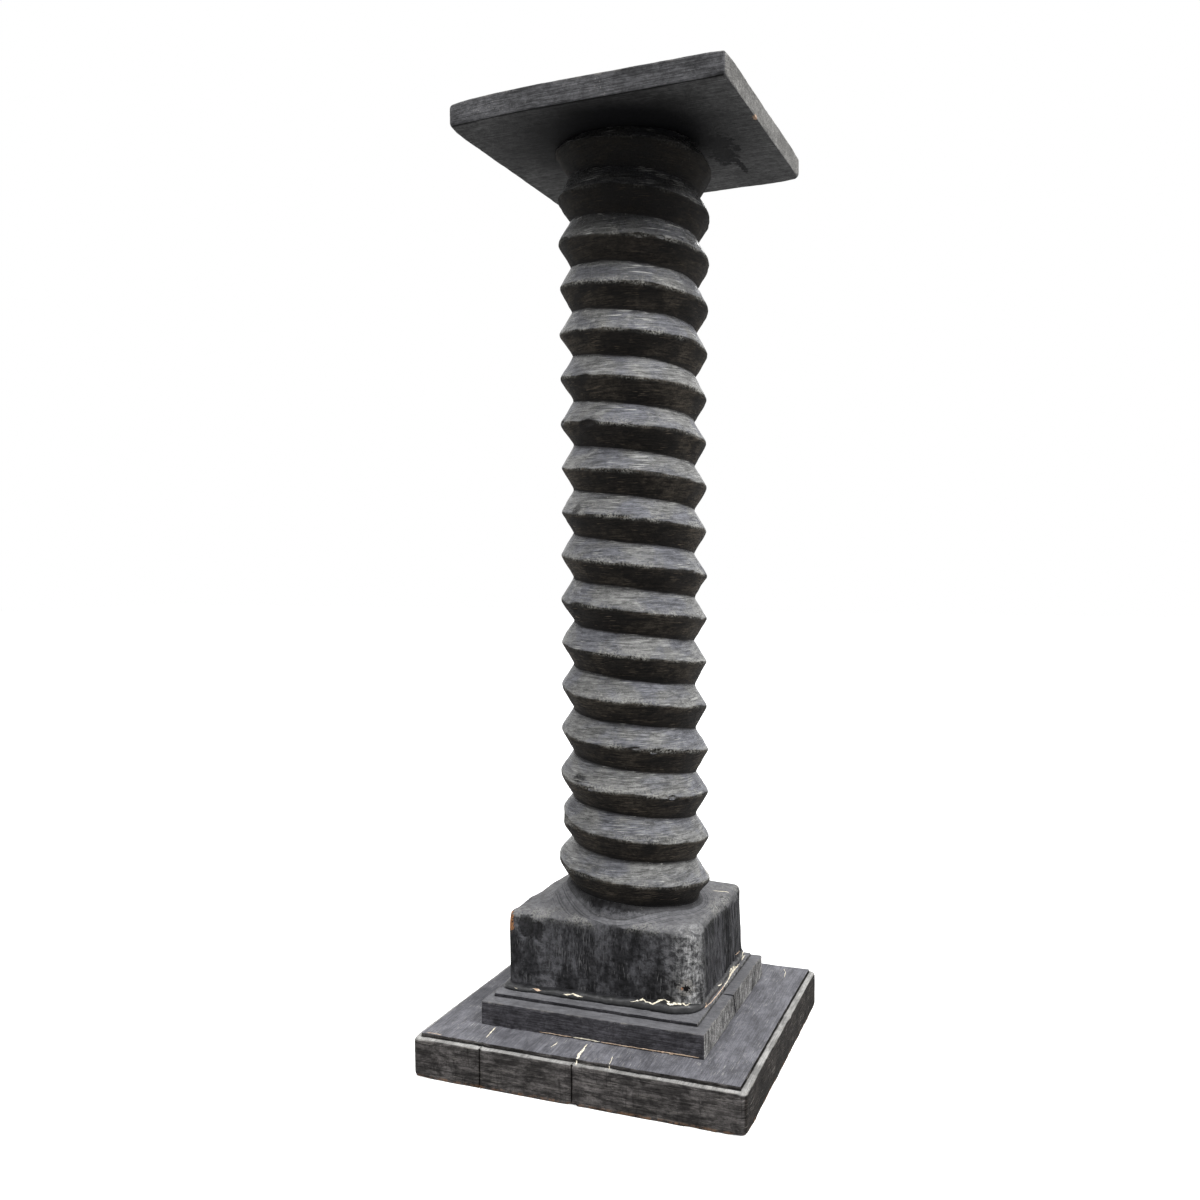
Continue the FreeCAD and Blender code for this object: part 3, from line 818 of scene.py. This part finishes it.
def trunk_mesh():
    """Screw and block joined into one solid, with the fields that its finish reads."""
    cuts = ((top_under_z, True), (arris_z - 15 * MM, False))
    screw = put_in("trunk_screw", capped_mesh("trunk_screw", *screw_shell(), cuts))
    block = put_in("trunk_block", capped_mesh("trunk_block", *block_shell()))
    union = screw.modifiers.new("union", "BOOLEAN")
    union.object, union.operation, union.solver = block, "UNION", "MANIFOLD"
    joined = screw.evaluated_get(bpy.context.evaluated_depsgraph_get())
    whole = bpy.data.meshes.new_from_object(joined)
    for made in (screw, block):
        bpy.data.objects.remove(made)
    points = np.empty(len(whole.vertices) * 3)
    whole.vertices.foreach_get("co", points)
    points = points.reshape(-1, 3)
    z = points[:, 2]
    reach, bearing = round_axis(points)
    phase = ((z - crest_height_at_x) / thread_pitch + bearing / 360) % 1.0
    from_crest = np.minimum(phase, 1 - phase) * thread_pitch
    from_root = np.abs(phase - 0.5) * thread_pitch
    shoulder = foot_height(bearing)
    is_screw = smooth(shoulder - 1 * MM, shoulder + 3 * MM, z)
    is_screw = is_screw * (reach < crest_radius_waist + crest_radius_swell + 6 * MM)
    scuffed = smooth(-0.4, 0.5, ragged(points, 14 * MM, 31))
    wide = np.where(phase < 0.5, 6.0, 1.8) * MM
    on_crest = bell(from_crest, 0, wide) * is_screw
    # The pale band along the arris is wear and painted glints.
    arris = bell(z, arris_z - 3 * MM, 6.0 * MM) * (1 - is_screw)
    arris = arris * (reach > foot_radius + 12 * MM) * (1 - 0.8 * bell(bearing, -36, 22))
    worn = np.clip(on_crest * (0.1 + 0.9 * scuffed) + arris * (0.25 + 0.75 * scuffed), 0, 1)
    # Painted shade: dark in the roots of the thread and in the crease where the screw meets the shoulder.
    at_foot = bell(reach, foot_radius, 3.5 * MM) * (np.abs(z - shoulder) < 7 * MM)
    root = np.maximum(smooth(4.5 * MM, 0.5 * MM, from_root) * is_screw, at_foot)
    corner = np.array((block_sides[1], block_ends[0])) + np.array((-1, 1)) * block_radii[1] * 0.3
    from_corner = np.linalg.norm(points[:, :2] - column_axis - corner, axis=1)
    rubbed = bell(from_corner, 0, 20 * MM) * (1 - is_screw) * (z < arris_z)
    # Darker round the dents of the thread.
    dark_round_dents = np.zeros(len(points))
    for dent_bearing, height, along, _, tall in thread_dents:
        away = (points - on_thread(dent_bearing, height)) / (np.array((along, along, tall)) * 1.2 * MM)
        dark_round_dents = np.maximum(dark_round_dents, smooth(1.15, 0.7, np.linalg.norm(away, axis=1)))
    set_fields(whole, dict(zip(trunk_fields, (is_screw, worn, dark_round_dents, root, rubbed))))
    whole.name = "trunk"
    return whole


# ---- Boards ----
def eased(inset, drop, radius):
    """How far a point near a square edge moves in and down when the edge is rounded."""
    q = np.stack([1 - inset / radius, 1 - drop / radius], -1)
    near = (q > 0).all(-1)
    q = np.clip(q, 1e-6, None)
    moved = q * (q.max(-1) / np.linalg.norm(q, axis=-1))[..., None]
    shift = (q - moved) * np.asarray(radius)[..., None] * near[..., None]
    return shift[..., 0], shift[..., 1]


class Board:
    """Closed grid of a board whose outer edges are worn round and whose joints stay crisp."""

    def __init__(self, x, y, z, radii, joints=(), step=3.5 * MM, steps_x=(), steps_y=()):
        """x, y and z are its ends, and radii those of its upright corners from the near left round."""
        self.z = z
        zs = lines(*z, 3.0 * MM)
        self.points, self.faces = box_grid(lines(*x, step, steps_x), lines(*y, step, steps_y), zs)
        self.square = self.points.copy()          # places before any rounding
        self.on_top = self.square[:, 2] > z[1] - 1e-6
        self.top_level = z[1]
        px, py = self.points[:, 0], self.points[:, 1]
        self.away = away = {"left": px - x[0], "right": x[1] - px, "front": py - y[0], "back": y[1] - py}
        far = np.full(len(px), 1.0)
        open_x, open_y = (np.min([away[side] for side in pair if side not in joints] + [far], axis=0)
                          for pair in (("left", "right"), ("front", "back")))
        self.inset = np.minimum(open_x, open_y)
        self.corner = np.exp(-(open_x ** 2 + open_y ** 2) / (15 * MM) ** 2)
        every = np.stack(list(away.values()))
        closest = np.argmin(every, axis=0)
        self.nearest = np.min(every, axis=0)
        self.way = np.array(((-1, 0), (1, 0), (0, -1), (0, 1)), float)[closest]
        self.at_joint = np.array([side in joints for side in away])[closest]
        for signs, radius in zip(((-1, -1), (1, -1), (1, 1), (-1, 1)), radii):
            signs = np.array(signs)
            centre = np.array([ends[sign > 0] - sign * radius for ends, sign in zip((x, y), signs)])
            q = (self.square[:, :2] - centre) * signs / radius
            inside = (q > 0).all(-1)
            unit = q / np.maximum(np.linalg.norm(q, axis=-1, keepdims=True), 1e-9)
            moved = centre + unit * q.max(-1, keepdims=True) * radius * signs
            self.points[inside, :2] = moved[inside]
            self.way[inside] = (unit * signs)[inside]

    def sink(self, low, rise):
        """Lowers the top by rise where low is true, which leaves the rest raised. Its height is
        kept as the level of the top there."""
        height = self.z[1] - self.z[0]
        self.points[:, 2] = self.z[0] + (self.points[:, 2] - self.z[0]) * np.where(low, 1 - rise / height, 1)
        self.top_level = np.where(low, self.z[1] - rise, self.z[1])

    def wear_edges(self, upward, outer_radius, joint_radius, corner_extra, lump, seed, where=True):
        """Rounds the top edges (upward 1) or the bottom edges (upward -1), unevenly round the board."""
        p = self.points
        uneven = 1 + 0.5 * ragged(p, lump, seed)
        radius = np.where(self.at_joint, joint_radius, outer_radius * uneven + corner_extra * self.corner)
        level = self.top_level if upward > 0 else self.z[0]
        drop = np.maximum((level - p[:, 2]) * upward, 0)
        move_in, move_down = eased(self.nearest, drop, radius)
        p[:, :2] -= self.way * (move_in * where)[:, None]
        p[:, 2] -= upward * move_down * where

    def round_rise(self, inside, low, radius):
        """Rounds the edge of the raised part of the top. inside is how far in a point lies there."""
        raised = self.on_top & ~low
        move_down = eased(np.where(raised, inside, 1.0), 0 * inside, np.full(len(inside), radius))[1]
        self.points[:, 2] -= move_down

    def roughen(self, reach, size, seed, underside=False):
        """Uneven sides, top and, where asked for, underside, a little inside the plain board."""
        p = self.points
        on_side = smooth(1.5 * MM, 0.2 * MM, self.nearest)
        bump = reach * 0.5 * (ragged(self.square, size, seed) - 1)
        bump = np.clip(bump, -reach, 0)
        p[:, :2] += self.way * (bump * on_side * ~self.at_joint)[:, None]
        on_top = smooth(1.0 * MM, 0.1 * MM, self.z[1] - self.square[:, 2]) * (1 - on_side)
        p[:, 2] += bump * on_top
        if underside:
            p[:, 2] -= bump * smooth(1.0 * MM, 0.1 * MM, self.square[:, 2] - self.z[0]) * (1 - on_side)

    def open_joint(self, side, end, gap, deep):
        """Draws a joint's face back beside one end, so that the seam shows there as a dark line."""
        axis, inward = {"left": (0, 1), "right": (0, -1), "front": (1, 1), "back": (1, -1)}[side]
        near_face = smooth(4 * MM, 0.5 * MM, self.away[side])
        near_end = smooth(deep, 0.3 * deep, self.away[end])
        self.points[:, axis] += inward * gap * near_face * near_end

    def build(self, name, finish, **fields):
        """Makes the piece worn_NODE, which stands for the board of that node."""
        for field in ("ledge", "grime"):
            fields.setdefault(field, np.zeros(len(self.points)))
        near_top = smooth(3.5 * MM, 0.6 * MM, np.abs(self.z[1] - self.square[:, 2]))
        near_side = smooth(3.5 * MM, 0.6 * MM, self.nearest)
        edge = near_top * near_side * ~self.at_joint
        fields["worn"] = edge * smooth(-0.5, 0.5, ragged(self.square, 12 * MM, 41))
        mesh = make_mesh(name, self.points, self.faces, fields)
        return finish_piece(name, mesh, finish, (name.replace("worn_", ""),))


def base_board(name, x, joints, radii, chips, finish, seed):
    """One of the three base boards: a low border outside a raised panel, and end grain in front."""
    inner_x = (base_low[0] + border_width, base_high[0] - border_width)
    inner_y = (base_low[1] + border_width, base_high[1] - border_width)
    board = Board(x, (base_low[1], base_high[1]), (base_low[2], base_top), radii, joints,
                  steps_x=[edge for edge in inner_x if x[0] < edge < x[1]], steps_y=inner_y)
    inside = board.inset - border_width
    low = inside < 0
    board.sink(low, panel_rise)
    board.round_rise(inside, low, 1.0 * MM)
    wander = 0.7 * MM * ragged(board.square, 34 * MM, seed + 9)
    wander = wander * bell(inside, 0, 4 * MM) * board.on_top
    board.points[:, :2] += board.way * wander[:, None]
    board.wear_edges(1, 2.2 * MM, 1.1 * MM, 2.5 * MM, 18 * MM, seed, ~board.at_joint | ~low)
    board.wear_edges(-1, 2.0 * MM, 0.6 * MM, 3.5 * MM, 20 * MM, seed + 12)
    board.roughen(0.9 * MM, 24 * MM, seed + 3)
    board.roughen(0.5 * MM, 5 * MM, seed + 6)
    for side, end in itertools.product(joints, ("front", "back")):
        board.open_joint(side, end, 0.45 * MM, 14 * MM)
    for centre, egg in chips:
        board.points = bite(board.points, np.array(centre), np.array(egg) * MM)
    # Painted shade along the foot of the panel's step.
    foot = smooth(1.3 * MM, 0.2 * MM, np.abs(inside)) * board.on_top * low
    return board.build(name, finish, ledge=low.astype(float), grime=foot * 0.8)


def plinth_board(name, y, joint, radii, finish, seed):
    """One of the two plinth boards, with its part of the low step under the block."""
    step_y = [edge for edge in (step_front, step_back) if y[0] < edge < y[1]]
    board = Board((plinth_low[0], plinth_high[0]), y, (plinth_low[2], step_z), radii, (joint,),
                  steps_x=(step_left, step_right), steps_y=step_y)
    square = board.square
    inside = np.minimum(np.minimum(square[:, 0] - step_left, step_right - square[:, 0]),
                        np.minimum(square[:, 1] - step_front, step_back - square[:, 1]))
    low = inside < 0
    board.sink(low, step_rise)
    board.round_rise(inside, low, 1.3 * MM)
    board.wear_edges(1, 1.8 * MM, 0.7 * MM, 0.0, 18 * MM, seed)
    board.roughen(0.8 * MM, 25 * MM, seed + 3)
    board.roughen(0.4 * MM, 6 * MM, seed + 6)
    board.open_joint(joint, "right", 1.6 * MM, 16 * MM)
    board.open_joint(joint, "left", 0.5 * MM, 16 * MM)
    # The joint between the two boards leans, as it shows on the right face.
    lean = smooth(40 * MM, 0, np.abs(square[:, 1] - plinth_seam_y)) * 6 * MM
    board.points[:, 1] -= lean * ((square[:, 2] - board.z[0]) / (board.z[1] - board.z[0]) * 2 - 1)
    # Painted shade along the foot of the plinth's step.
    foot = smooth(-1.4 * MM, -0.2 * MM, inside) * low * board.on_top
    return board.build(name, finish, grime=foot * 0.7)


def top_board(finish):
    """The top board: a worn slab, planed back at the near left, set slightly askew."""
    half = np.array((top_width, top_depth)) / 2
    board = Board((-half[0], half[0]), (-half[1], half[1]), (0, top_z - top_under_z),
                  (top_corner, top_corner_near_right, top_corner, top_corner), step=3.2 * MM)
    board.wear_edges(1, 1.8 * MM, 1 * MM, 2 * MM, 20 * MM, 61)
    board.wear_edges(-1, 1.8 * MM, 1 * MM, 5 * MM, 20 * MM, 62)
    board.roughen(0.5 * MM, 34 * MM, 63, underside=True)
    board.roughen(0.3 * MM, (14 * MM, 5 * MM, 5 * MM), 66, underside=True)
    p = board.points
    back = np.clip(1 - (p[:, 0] + half[0]) / top_planed_length, 0, 1) ** 2 * top_planed_back
    p[:, 1] += back * smooth(half[1] * 0.2, half[1], -p[:, 1])
    cos, sin = math.cos(top_turn), math.sin(top_turn)
    p[:, :2] = p[:, :2] @ np.array(((cos, sin), (-sin, cos))) + column_axis
    p[:, 2] += top_under_z
    # Painted shadow: a black band on the underside along the front edge.
    lip = smooth(4.5 * MM, 2.0 * MM, board.away["front"])
    return board.build("worn_top_board", finish, lip=lip)


# ---- Filler, cracks and pale lines ----
def foot_bead(finish):
    """Black filler pressed in along the foot of the block, wavy where it was smeared."""
    columns, rows = 520, 12
    foot_z = step_z + 0.02 * MM
    inner, way = block_outline(columns, -1.5 * MM)
    around = np.concatenate([inner, np.zeros((columns, 1))], 1)
    front = smooth(0.3, 0.9, -way[:, 1])
    reach = bead_side + 1.2 * MM + (bead_front - 0.5 * MM) * front
    reach = reach * (0.82 + 0.18 * ragged(around, 16 * MM, 71))
    tall = bead_height * (0.85 + 0.3 * ragged(around, 24 * MM, 72))
    tall = tall + 2.5 * MM * smooth(column_axis[0] - 0.02, column_axis[0] + 0.06, inner[:, 0]) * front
    points = []
    for angle in np.linspace(0, math.pi / 2, rows):
        swell = 1 + 0.10 * math.sin(2 * angle)
        out = reach * math.cos(angle) * swell
        z = foot_z + tall * math.sin(angle) * swell
        ring = np.concatenate([inner + way * out[:, None], z[:, None]], 1)
        points.append(ring + 0.35 * MM * lumps(ring, 5 * MM, 73)[:, None] * math.sin(2 * angle))
    points.append(np.concatenate([inner - way * 1 * MM, np.full((columns, 1), foot_z)], 1))
    points[0][:, 2] = foot_z
    ids = round_table(rows + 1, columns)
    ids = np.concatenate([ids, ids[:1]])
    mesh = make_mesh("filler_bead", np.concatenate(points), grid_faces(ids.T), {})
    return finish_piece("filler_bead", mesh, finish, ("foot_filler",), 60)


run_up = 60 * MM


def surface_under(objects):
    """Looks up where a line from beside a place towards it meets the nearest of the objects."""
    graph = bpy.context.evaluated_depsgraph_get()
    trees = [BVHTree.FromObject(o, graph) for o in objects]

    def find(place, ahead):
        start = Vector(place - ahead * run_up)
        hits = [tree.ray_cast(start, Vector(ahead), 2 * run_up) for tree in trees]
        hits = [hit for hit in hits if hit[0] is not None]
        if not hits:
            return place
        return np.array(min(hits, key=lambda hit: hit[3])[0])
    return find


def streak(name, route, finish, seed, ahead, find, wander, proud=0.35):
    """Ragged run of filler or bare wood on a surface, along places (x, y, z, width) in millimetres.
    The surface is looked for from each place along ahead."""
    route = np.array(route, float) * MM
    run = np.r_[0, np.cumsum(np.linalg.norm(np.diff(route[:, :3], axis=0), axis=1))]
    count = max(8, int(run[-1] / (0.8 * MM)))
    at = np.linspace(0, run[-1], count)
    line = np.stack([np.interp(at, run, route[:, k]) for k in range(4)], -1)
    line, width = line[:, :3], line[:, 3]
    ahead = np.array(ahead, float) / np.linalg.norm(ahead)
    side = np.cross(ahead, np.gradient(line, axis=0))
    side /= np.linalg.norm(side, axis=1, keepdims=True)
    sway = lumps(line + seed, 5 * MM, seed) + 0.4 * lumps(line + seed, 1.8 * MM, seed + 1)
    line = line + side * (wander * MM * sway)[:, None]
    ends = np.minimum(np.arange(count), np.arange(count)[::-1])
    taper = np.clip(ends / 4, 0.15, 1)
    half = width / 2 * taper * (0.8 + 0.6 * lumps(line, 2.2 * MM, seed + 2))
    section = ((-1, -0.6), (-0.7, 0.6), (0, 1), (0.7, 0.6), (1, -0.6), (0, -1.5))
    points = []
    for centre, across, reach, thin in zip(line, side, half, taper):
        for a, b in section:
            place = find(centre + across * reach * a, ahead)
            points.append(place - ahead * (b * proud * MM * thin))
    mesh = capped_mesh(name, np.array(points), grid_faces(round_table(count, len(section))))
    return finish_piece(name, mesh, finish)


def seam_filler(finish):
    """Painted filler in the two V grooves along the panel, a hair below its face."""
    reach = base_high[1] - border_width - 0.6 * MM
    sheets, faces, start = [], [], 0
    for x in (seam_left_x, seam_right_x):
        y = np.linspace(-reach, reach, 260)
        middle = np.stack([np.full_like(y, x), y, np.full_like(y, base_top)], -1)
        top = base_top - 0.35 * MM + 0.2 * MM * lumps(middle, 6 * MM, 81)
        section = ((-1.15, 0), (-0.5, 0.05), (0.5, 0.05), (1.15, 0), (0, -2.0))
        points = [np.stack([x + a * MM + 0 * y, y, top + b * MM], -1) for a, b in section]
        sheets.append(np.stack(points, 1).reshape(-1, 3))
        faces.append(grid_faces(round_table(len(y), len(section), start))[:, ::-1])
        start += len(sheets[-1])
    mesh = capped_mesh("groove_filler", np.concatenate(sheets), np.concatenate(faces))
    return finish_piece("groove_filler", mesh, finish, ("base_seam_filler",))


# ---- Put the object together ----
trunk = trunk_finish()
base_paint = base_finish()
plinth_paint = plinth_finish()
top_paint = top_finish()
black_filler = plain_finish("black_filler", (16, 16, 17), (40, 40, 42), (6, 6, 6), (0.28, 0.5), 0.4)
pale_filler = plain_finish("pale_filler", (206, 196, 172), (246, 240, 222), (3, 3, 3), (0.6, 0.8))
pink_wood = plain_finish("bare_pink_wood", (176, 148, 124), (222, 200, 176), (3, 3, 3), (0.55, 0.75))
bare_wood = plain_finish("bare_wood", (122, 88, 58), (176, 138, 98), (1.2, 1.2, 18), (0.5, 0.7), 0.3)
steel = plain_finish("dull_steel", (70, 68, 66), (128, 124, 118), (2.5, 2.5, 2.5), (0.35, 0.6), 0.05, 1.0)

column = finish_piece("carved_trunk", trunk_mesh(), trunk, ("screw_column",), 32)

crisp = 0.9 * MM              # radius of the corners at a joint
front_foot = -0.183           # just outside the foot of the base's front edge
base_rows = (      # which, ends along X, joints, corner radii, chips (place, radii in mm), seed
    ("left", (base_low[0], seam_left_x), ("right",), (base_corner, crisp, crisp, base_corner),
     [((-0.104, -0.1815, 0.0), (5, 3, 5))], 101),
    ("middle", (seam_left_x, seam_right_x), ("left", "right"), (crisp,) * 4,
     [((0.0005, front_foot, -0.001), (5, 5, 5))], 131),
    ("right", (seam_right_x, base_high[0]), ("left",), (crisp, base_corner, base_corner, crisp),
     [((0.0045, front_foot, -0.001), (4, 5, 5)), ((0.1915, 0.0264, 0.0455), (4, 6, 4)),
      ((0.134, front_foot, -0.001), (11, 4, 4)), ((0.164, front_foot, -0.001), (5, 4, 3.5))], 161),
)
base = [base_board(f"worn_base_{which}_board", x, joints, radii, chips, base_paint, seed)
        for which, x, joints, radii, chips, seed in base_rows]
plinth_rows = (      # which, ends along Y, joint, corner radii, seed
    ("front", (plinth_low[1], plinth_seam_y), "back", (plinth_corner, plinth_corner, crisp, crisp), 191),
    ("back", (plinth_seam_y, plinth_high[1]), "front", (crisp, crisp, plinth_corner, plinth_corner), 221),
)
plinth = [plinth_board(f"worn_plinth_{which}_board", y, joint, radii, plinth_paint, seed)
          for which, y, joint, radii, seed in plinth_rows]
top_board(top_paint)
bead = foot_bead(black_filler)
groove = seam_filler(base_paint)

# ---- Cracks and pale lines, in millimetres ----
down, inward, leftward = (0, 0, -1), (0, 1, 0), (-1, 0, 0)
panel_z = base_top / MM
plinth_y = plinth_low[1] / MM
face_y = (column_axis[1] + block_ends[0]) / MM
face_x = (column_axis[0] + block_sides[1]) / MM
foot = surface_under((column, bead))
# Way to look, surface, origin, and the streaks there: name, finish, wander, and places as the two
# coordinates across the way to look, from the origin, and the width. A fourth number goes ahead.
streak_groups = (
    (down, surface_under((*base, groove)), (0, 0, panel_z), (
        ("seam_crack_left", pale_filler, 0.3,
         ((-112.5, -131.5, 1.2), (-111.2, -145, 2.0), (-109.2, -161, 1.4))),
        ("seam_crack_right", pale_filler, 0.8,
         ((2.1, -136.5, 1.6), (2.9, -150, 2.6), (3.2, -160, 3.4), (5.0, -173, 2.2), (5.6, -179, 1.2))),
        ("panel_nick", pale_filler, 0.6, ((-32, -140, 0.7), (-31, -148, 1.4), (-32.5, -158, 0.7))),
        ("panel_scratch", pale_filler, 0.3, ((38.2, -153, 0.6), (41, -166, 0.9), (42.6, -178, 0.5))),
        ("panel_arc", pale_filler, 0.3, ((153, 164, 0.6), (158, 150, 1.0), (160, 133, 0.6))),
        ("panel_corner_line", pink_wood, 0.4,
         ((-179, -171.5, 0.8), (-170, -172, 1.6), (-158, -172, 0.8))),
    )),
    (inward, surface_under(plinth), (0, plinth_y, panel_z), (
        ("plinth_foot_left", pink_wood, 0.3, ((-60, 0.9, 0.6), (-40, 0.9, 1.0), (-19, 0.9, 0.8))),
        ("plinth_foot_middle", pale_filler, 0.4, ((-19, 0.9, 1.0), (-4, 1.0, 2.2), (14, 0.9, 1.2))),
        ("plinth_foot_right", pink_wood, 0.2,
         ((14, 0.8, 1.4), (60, 0.8, 1.0), (85, 0.8, 1.8), (127, 0.8, 1.1))),
    )),
    (inward, foot, (0, face_y, 0), (
        ("foot_crack_a", pale_filler, 0.5, ((-106, 81.5, 0.9), (-101, 81, 0.9))),
        ("foot_crack_b", pink_wood, 0.5, ((-84, 82.8, 0.9), (-77.9, 81.7, 2.0), (-72, 82, 0.8))),
        ("foot_crack_c", pale_filler, 1.0,
         ((-45, 82.4, 0.8), (-40, 82.2, 1.8), (-33, 83.4, 1.0), (-27, 82.4, 2.0), (-20, 82.7, 0.8))),
        ("foot_crack_d", pale_filler, 0.9,
         ((36, 84.7, 0.7), (50.7, 87.6, 1.1), (62.8, 85.3, 1.7), (74.7, 90.2, 1.1), (81.6, 87, 1.8),
          (92, 87.4, 1.0), (103.5, 87.7, 0.7, 12))),
    )),
    (down, surface_under((column, bead, *plinth)), (0, 0, step_z / MM), (
        ("ledge_crack_a", pink_wood, 0.4,
         ((114.0, -66, 0.8), (116.2, -50, 1.3), (117.0, -30, 1.4), (117.2, -10, 1.6), (117.0, 4, 1.0))),
        ("ledge_crack_b", pale_filler, 0.8,
         ((117.2, 0, 1.0), (116.6, 12, 2.0), (116.2, 23, 1.2), (115.4, 36, 2.2), (115.0, 52, 1.2),
          (115.2, 70, 1.6), (116.0, 81, 0.8))),
        ("ledge_crack_c", pale_filler, 0.4, ((114.8, 92, 0.7), (114.4, 102, 1.1), (114.2, 113, 0.6))),
    )),
    (leftward, foot, (face_x, 0, 0), (
        ("side_crack_a", pale_filler, 0.6, ((-14, 83.6, 1.0), (-6, 82, 1.8), (4, 80.5, 1.0))),
        ("side_crack_b", pink_wood, 0.6, ((74, 90, 0.8), (88, 89, 1.5), (100, 87, 0.8))),
    )),
    (down, foot, (0, 0, arris_z / MM), (
        ("shoulder_crack_a", pale_filler, 0.6, ((84.7, 64.7, 0.8), (95, 69, 1.8), (105, 72.5, 0.8))),
        ("shoulder_crack_b", pale_filler, 0.4, ((85.5, 25.2, 0.8), (89, 26.8, 1.8), (92, 28.5, 0.8))),
    )),
)
seeds = itertools.count(301, 7)
for ahead, surface, origin, rows in streak_groups:
    axis = int(np.argmax(np.abs(ahead)))
    for name, finish, wander, places in rows:
        route = []
        for a, b, width, *further in places:
            route.append([*(np.array(origin) + np.insert((a, b), axis, sum(further))), width])
        streak(name, route, finish, next(seeds), ahead, surface, wander)

hidden_nodes = {"base_tongues": bare_wood, "plinth_tongues": bare_wood, "top_plugs": top_paint,
                "plinth_screws": steel, "column_lag_screws": steel, "column_washers": steel,
                "top_screws": steel}
for node, finish in hidden_nodes.items():
    slots = frame["nodes"][node].data.materials
    slots.clear()
    slots.append(finish)


# ---- Floor, light and camera ----
def background_rays(tree):
    """1 for rays from the camera, a reflection or glass, which all see the white background."""
    path = tree.nodes.new("ShaderNodeLightPath")
    found = path.outputs["Is Camera Ray"]
    for kind in ("Is Glossy Ray", "Is Transmission Ray"):
        larger = tree.nodes.new("ShaderNodeMath")
        larger.operation = "MAXIMUM"
        tree.links.new(found, larger.inputs[0])
        tree.links.new(path.outputs[kind], larger.inputs[1])
        found = larger.outputs[0]
    return found


def grey(level):
    return (level, level, level, 1)


def floor():
    """Pale floor and the same paleness all round it. It lights the object less than it shows."""
    mesh = bpy.data.meshes.new("floor")
    side = 12.0
    mesh.from_pydata([(-side, -side, 0), (side, -side, 0), (side, side, 0), (-side, side, 0)], [],
                     [(0, 1, 2, 3)])
    f = Finish("pale_floor", roughness=0.9, specular=0.0)
    seen_rays = Wire(f, background_rays(f.tree))
    speck = f.span(f.noise(f.scaled(30, 30, 30)), 0.3, 0.7)
    bounce = f.mix(speck, grey(0.22), grey(0.25))
    seen = f.mix(speck, grey(0.80), grey(0.81))
    f.feed(f.shader, "Base Color", f.mix(seen_rays, bounce, seen))
    from_middle = f.vector("LENGTH", f.place, output="Value")
    glow = f.mix(f.span(from_middle, 0.5, 2.2), grey(0.62), grey(1.0))
    f.feed(f.shader, "Emission Color", f.mix(seen_rays, grey(0.0), glow))
    f.feed(f.shader, "Emission Strength", 1.0)
    mesh.materials.append(f.material)
    made = put_in("floor", mesh)
    made.location.z = base_low[2] - 0.2 * MM


def lamp(name, place, aim, width, height, power):
    light = bpy.data.lights.new(name, "AREA")
    light.shape = "RECTANGLE"
    light.size, light.size_y, light.energy = width, height, power
    made = put_in(name, light)
    made.location = place
    made.rotation_euler = (Vector(aim) - Vector(place)).to_track_quat("-Z", "Y").to_euler()


def world():
    made = bpy.data.worlds.new("studio")
    bpy.context.scene.world = made
    made.use_nodes = True
    tree = made.node_tree
    back = tree.nodes["Background"]
    level = tree.nodes.new("ShaderNodeMapRange")
    tree.links.new(background_rays(tree), level.inputs["Value"])
    level.inputs["To Min"].default_value = 0.36
    level.inputs["To Max"].default_value = 1.0
    back.inputs["Color"].default_value = (1, 1, 1, 1)
    tree.links.new(level.outputs[0], back.inputs["Strength"])


def camera():
    """The photograph's viewpoint: to the right of the front, at the height of the screw's middle."""
    place = (0.4557, -1.2291, 0.5685)
    yaw, pitch, roll = (math.radians(a) for a in (21.138, -3.036, -0.162))
    level = math.cos(pitch)
    ahead = Vector((-math.sin(yaw) * level, math.cos(yaw) * level, math.sin(pitch)))
    right = Vector((math.cos(yaw), math.sin(yaw), 0))
    up = right.cross(ahead)
    across = right * math.cos(roll) + up * math.sin(roll)
    upward = up * math.cos(roll) - right * math.sin(roll)
    data = bpy.data.cameras.new("camera")
    data.lens, data.sensor_width = 33.237, 36.0
    data.shift_x, data.shift_y = -0.01086, 0.02089
    made = put_in("camera", data)
    turn = Matrix((across, upward, -ahead)).transposed()
    made.matrix_world = Matrix.Translation(place) @ turn.to_4x4()
    bpy.context.scene.camera = made


floor()
world()
lamp("key", (2.6, -0.35, 3.4), (0, 0, 0.55), 1.3, 1.3, 190)
lamp("fill", (-1.9, -0.8, 2.0), (0, 0, 0.5), 1.0, 1.0, 18)
lamp("front", (0.3, -1.7, 3.2), (0, 0, 0.55), 1.2, 0.5, 66)
lamp("back", (-0.6, 2.4, 2.4), (0, 0, 0.5), 1.2, 1.2, 26)
camera()
bpy.context.scene.view_settings.view_transform = "Standard"
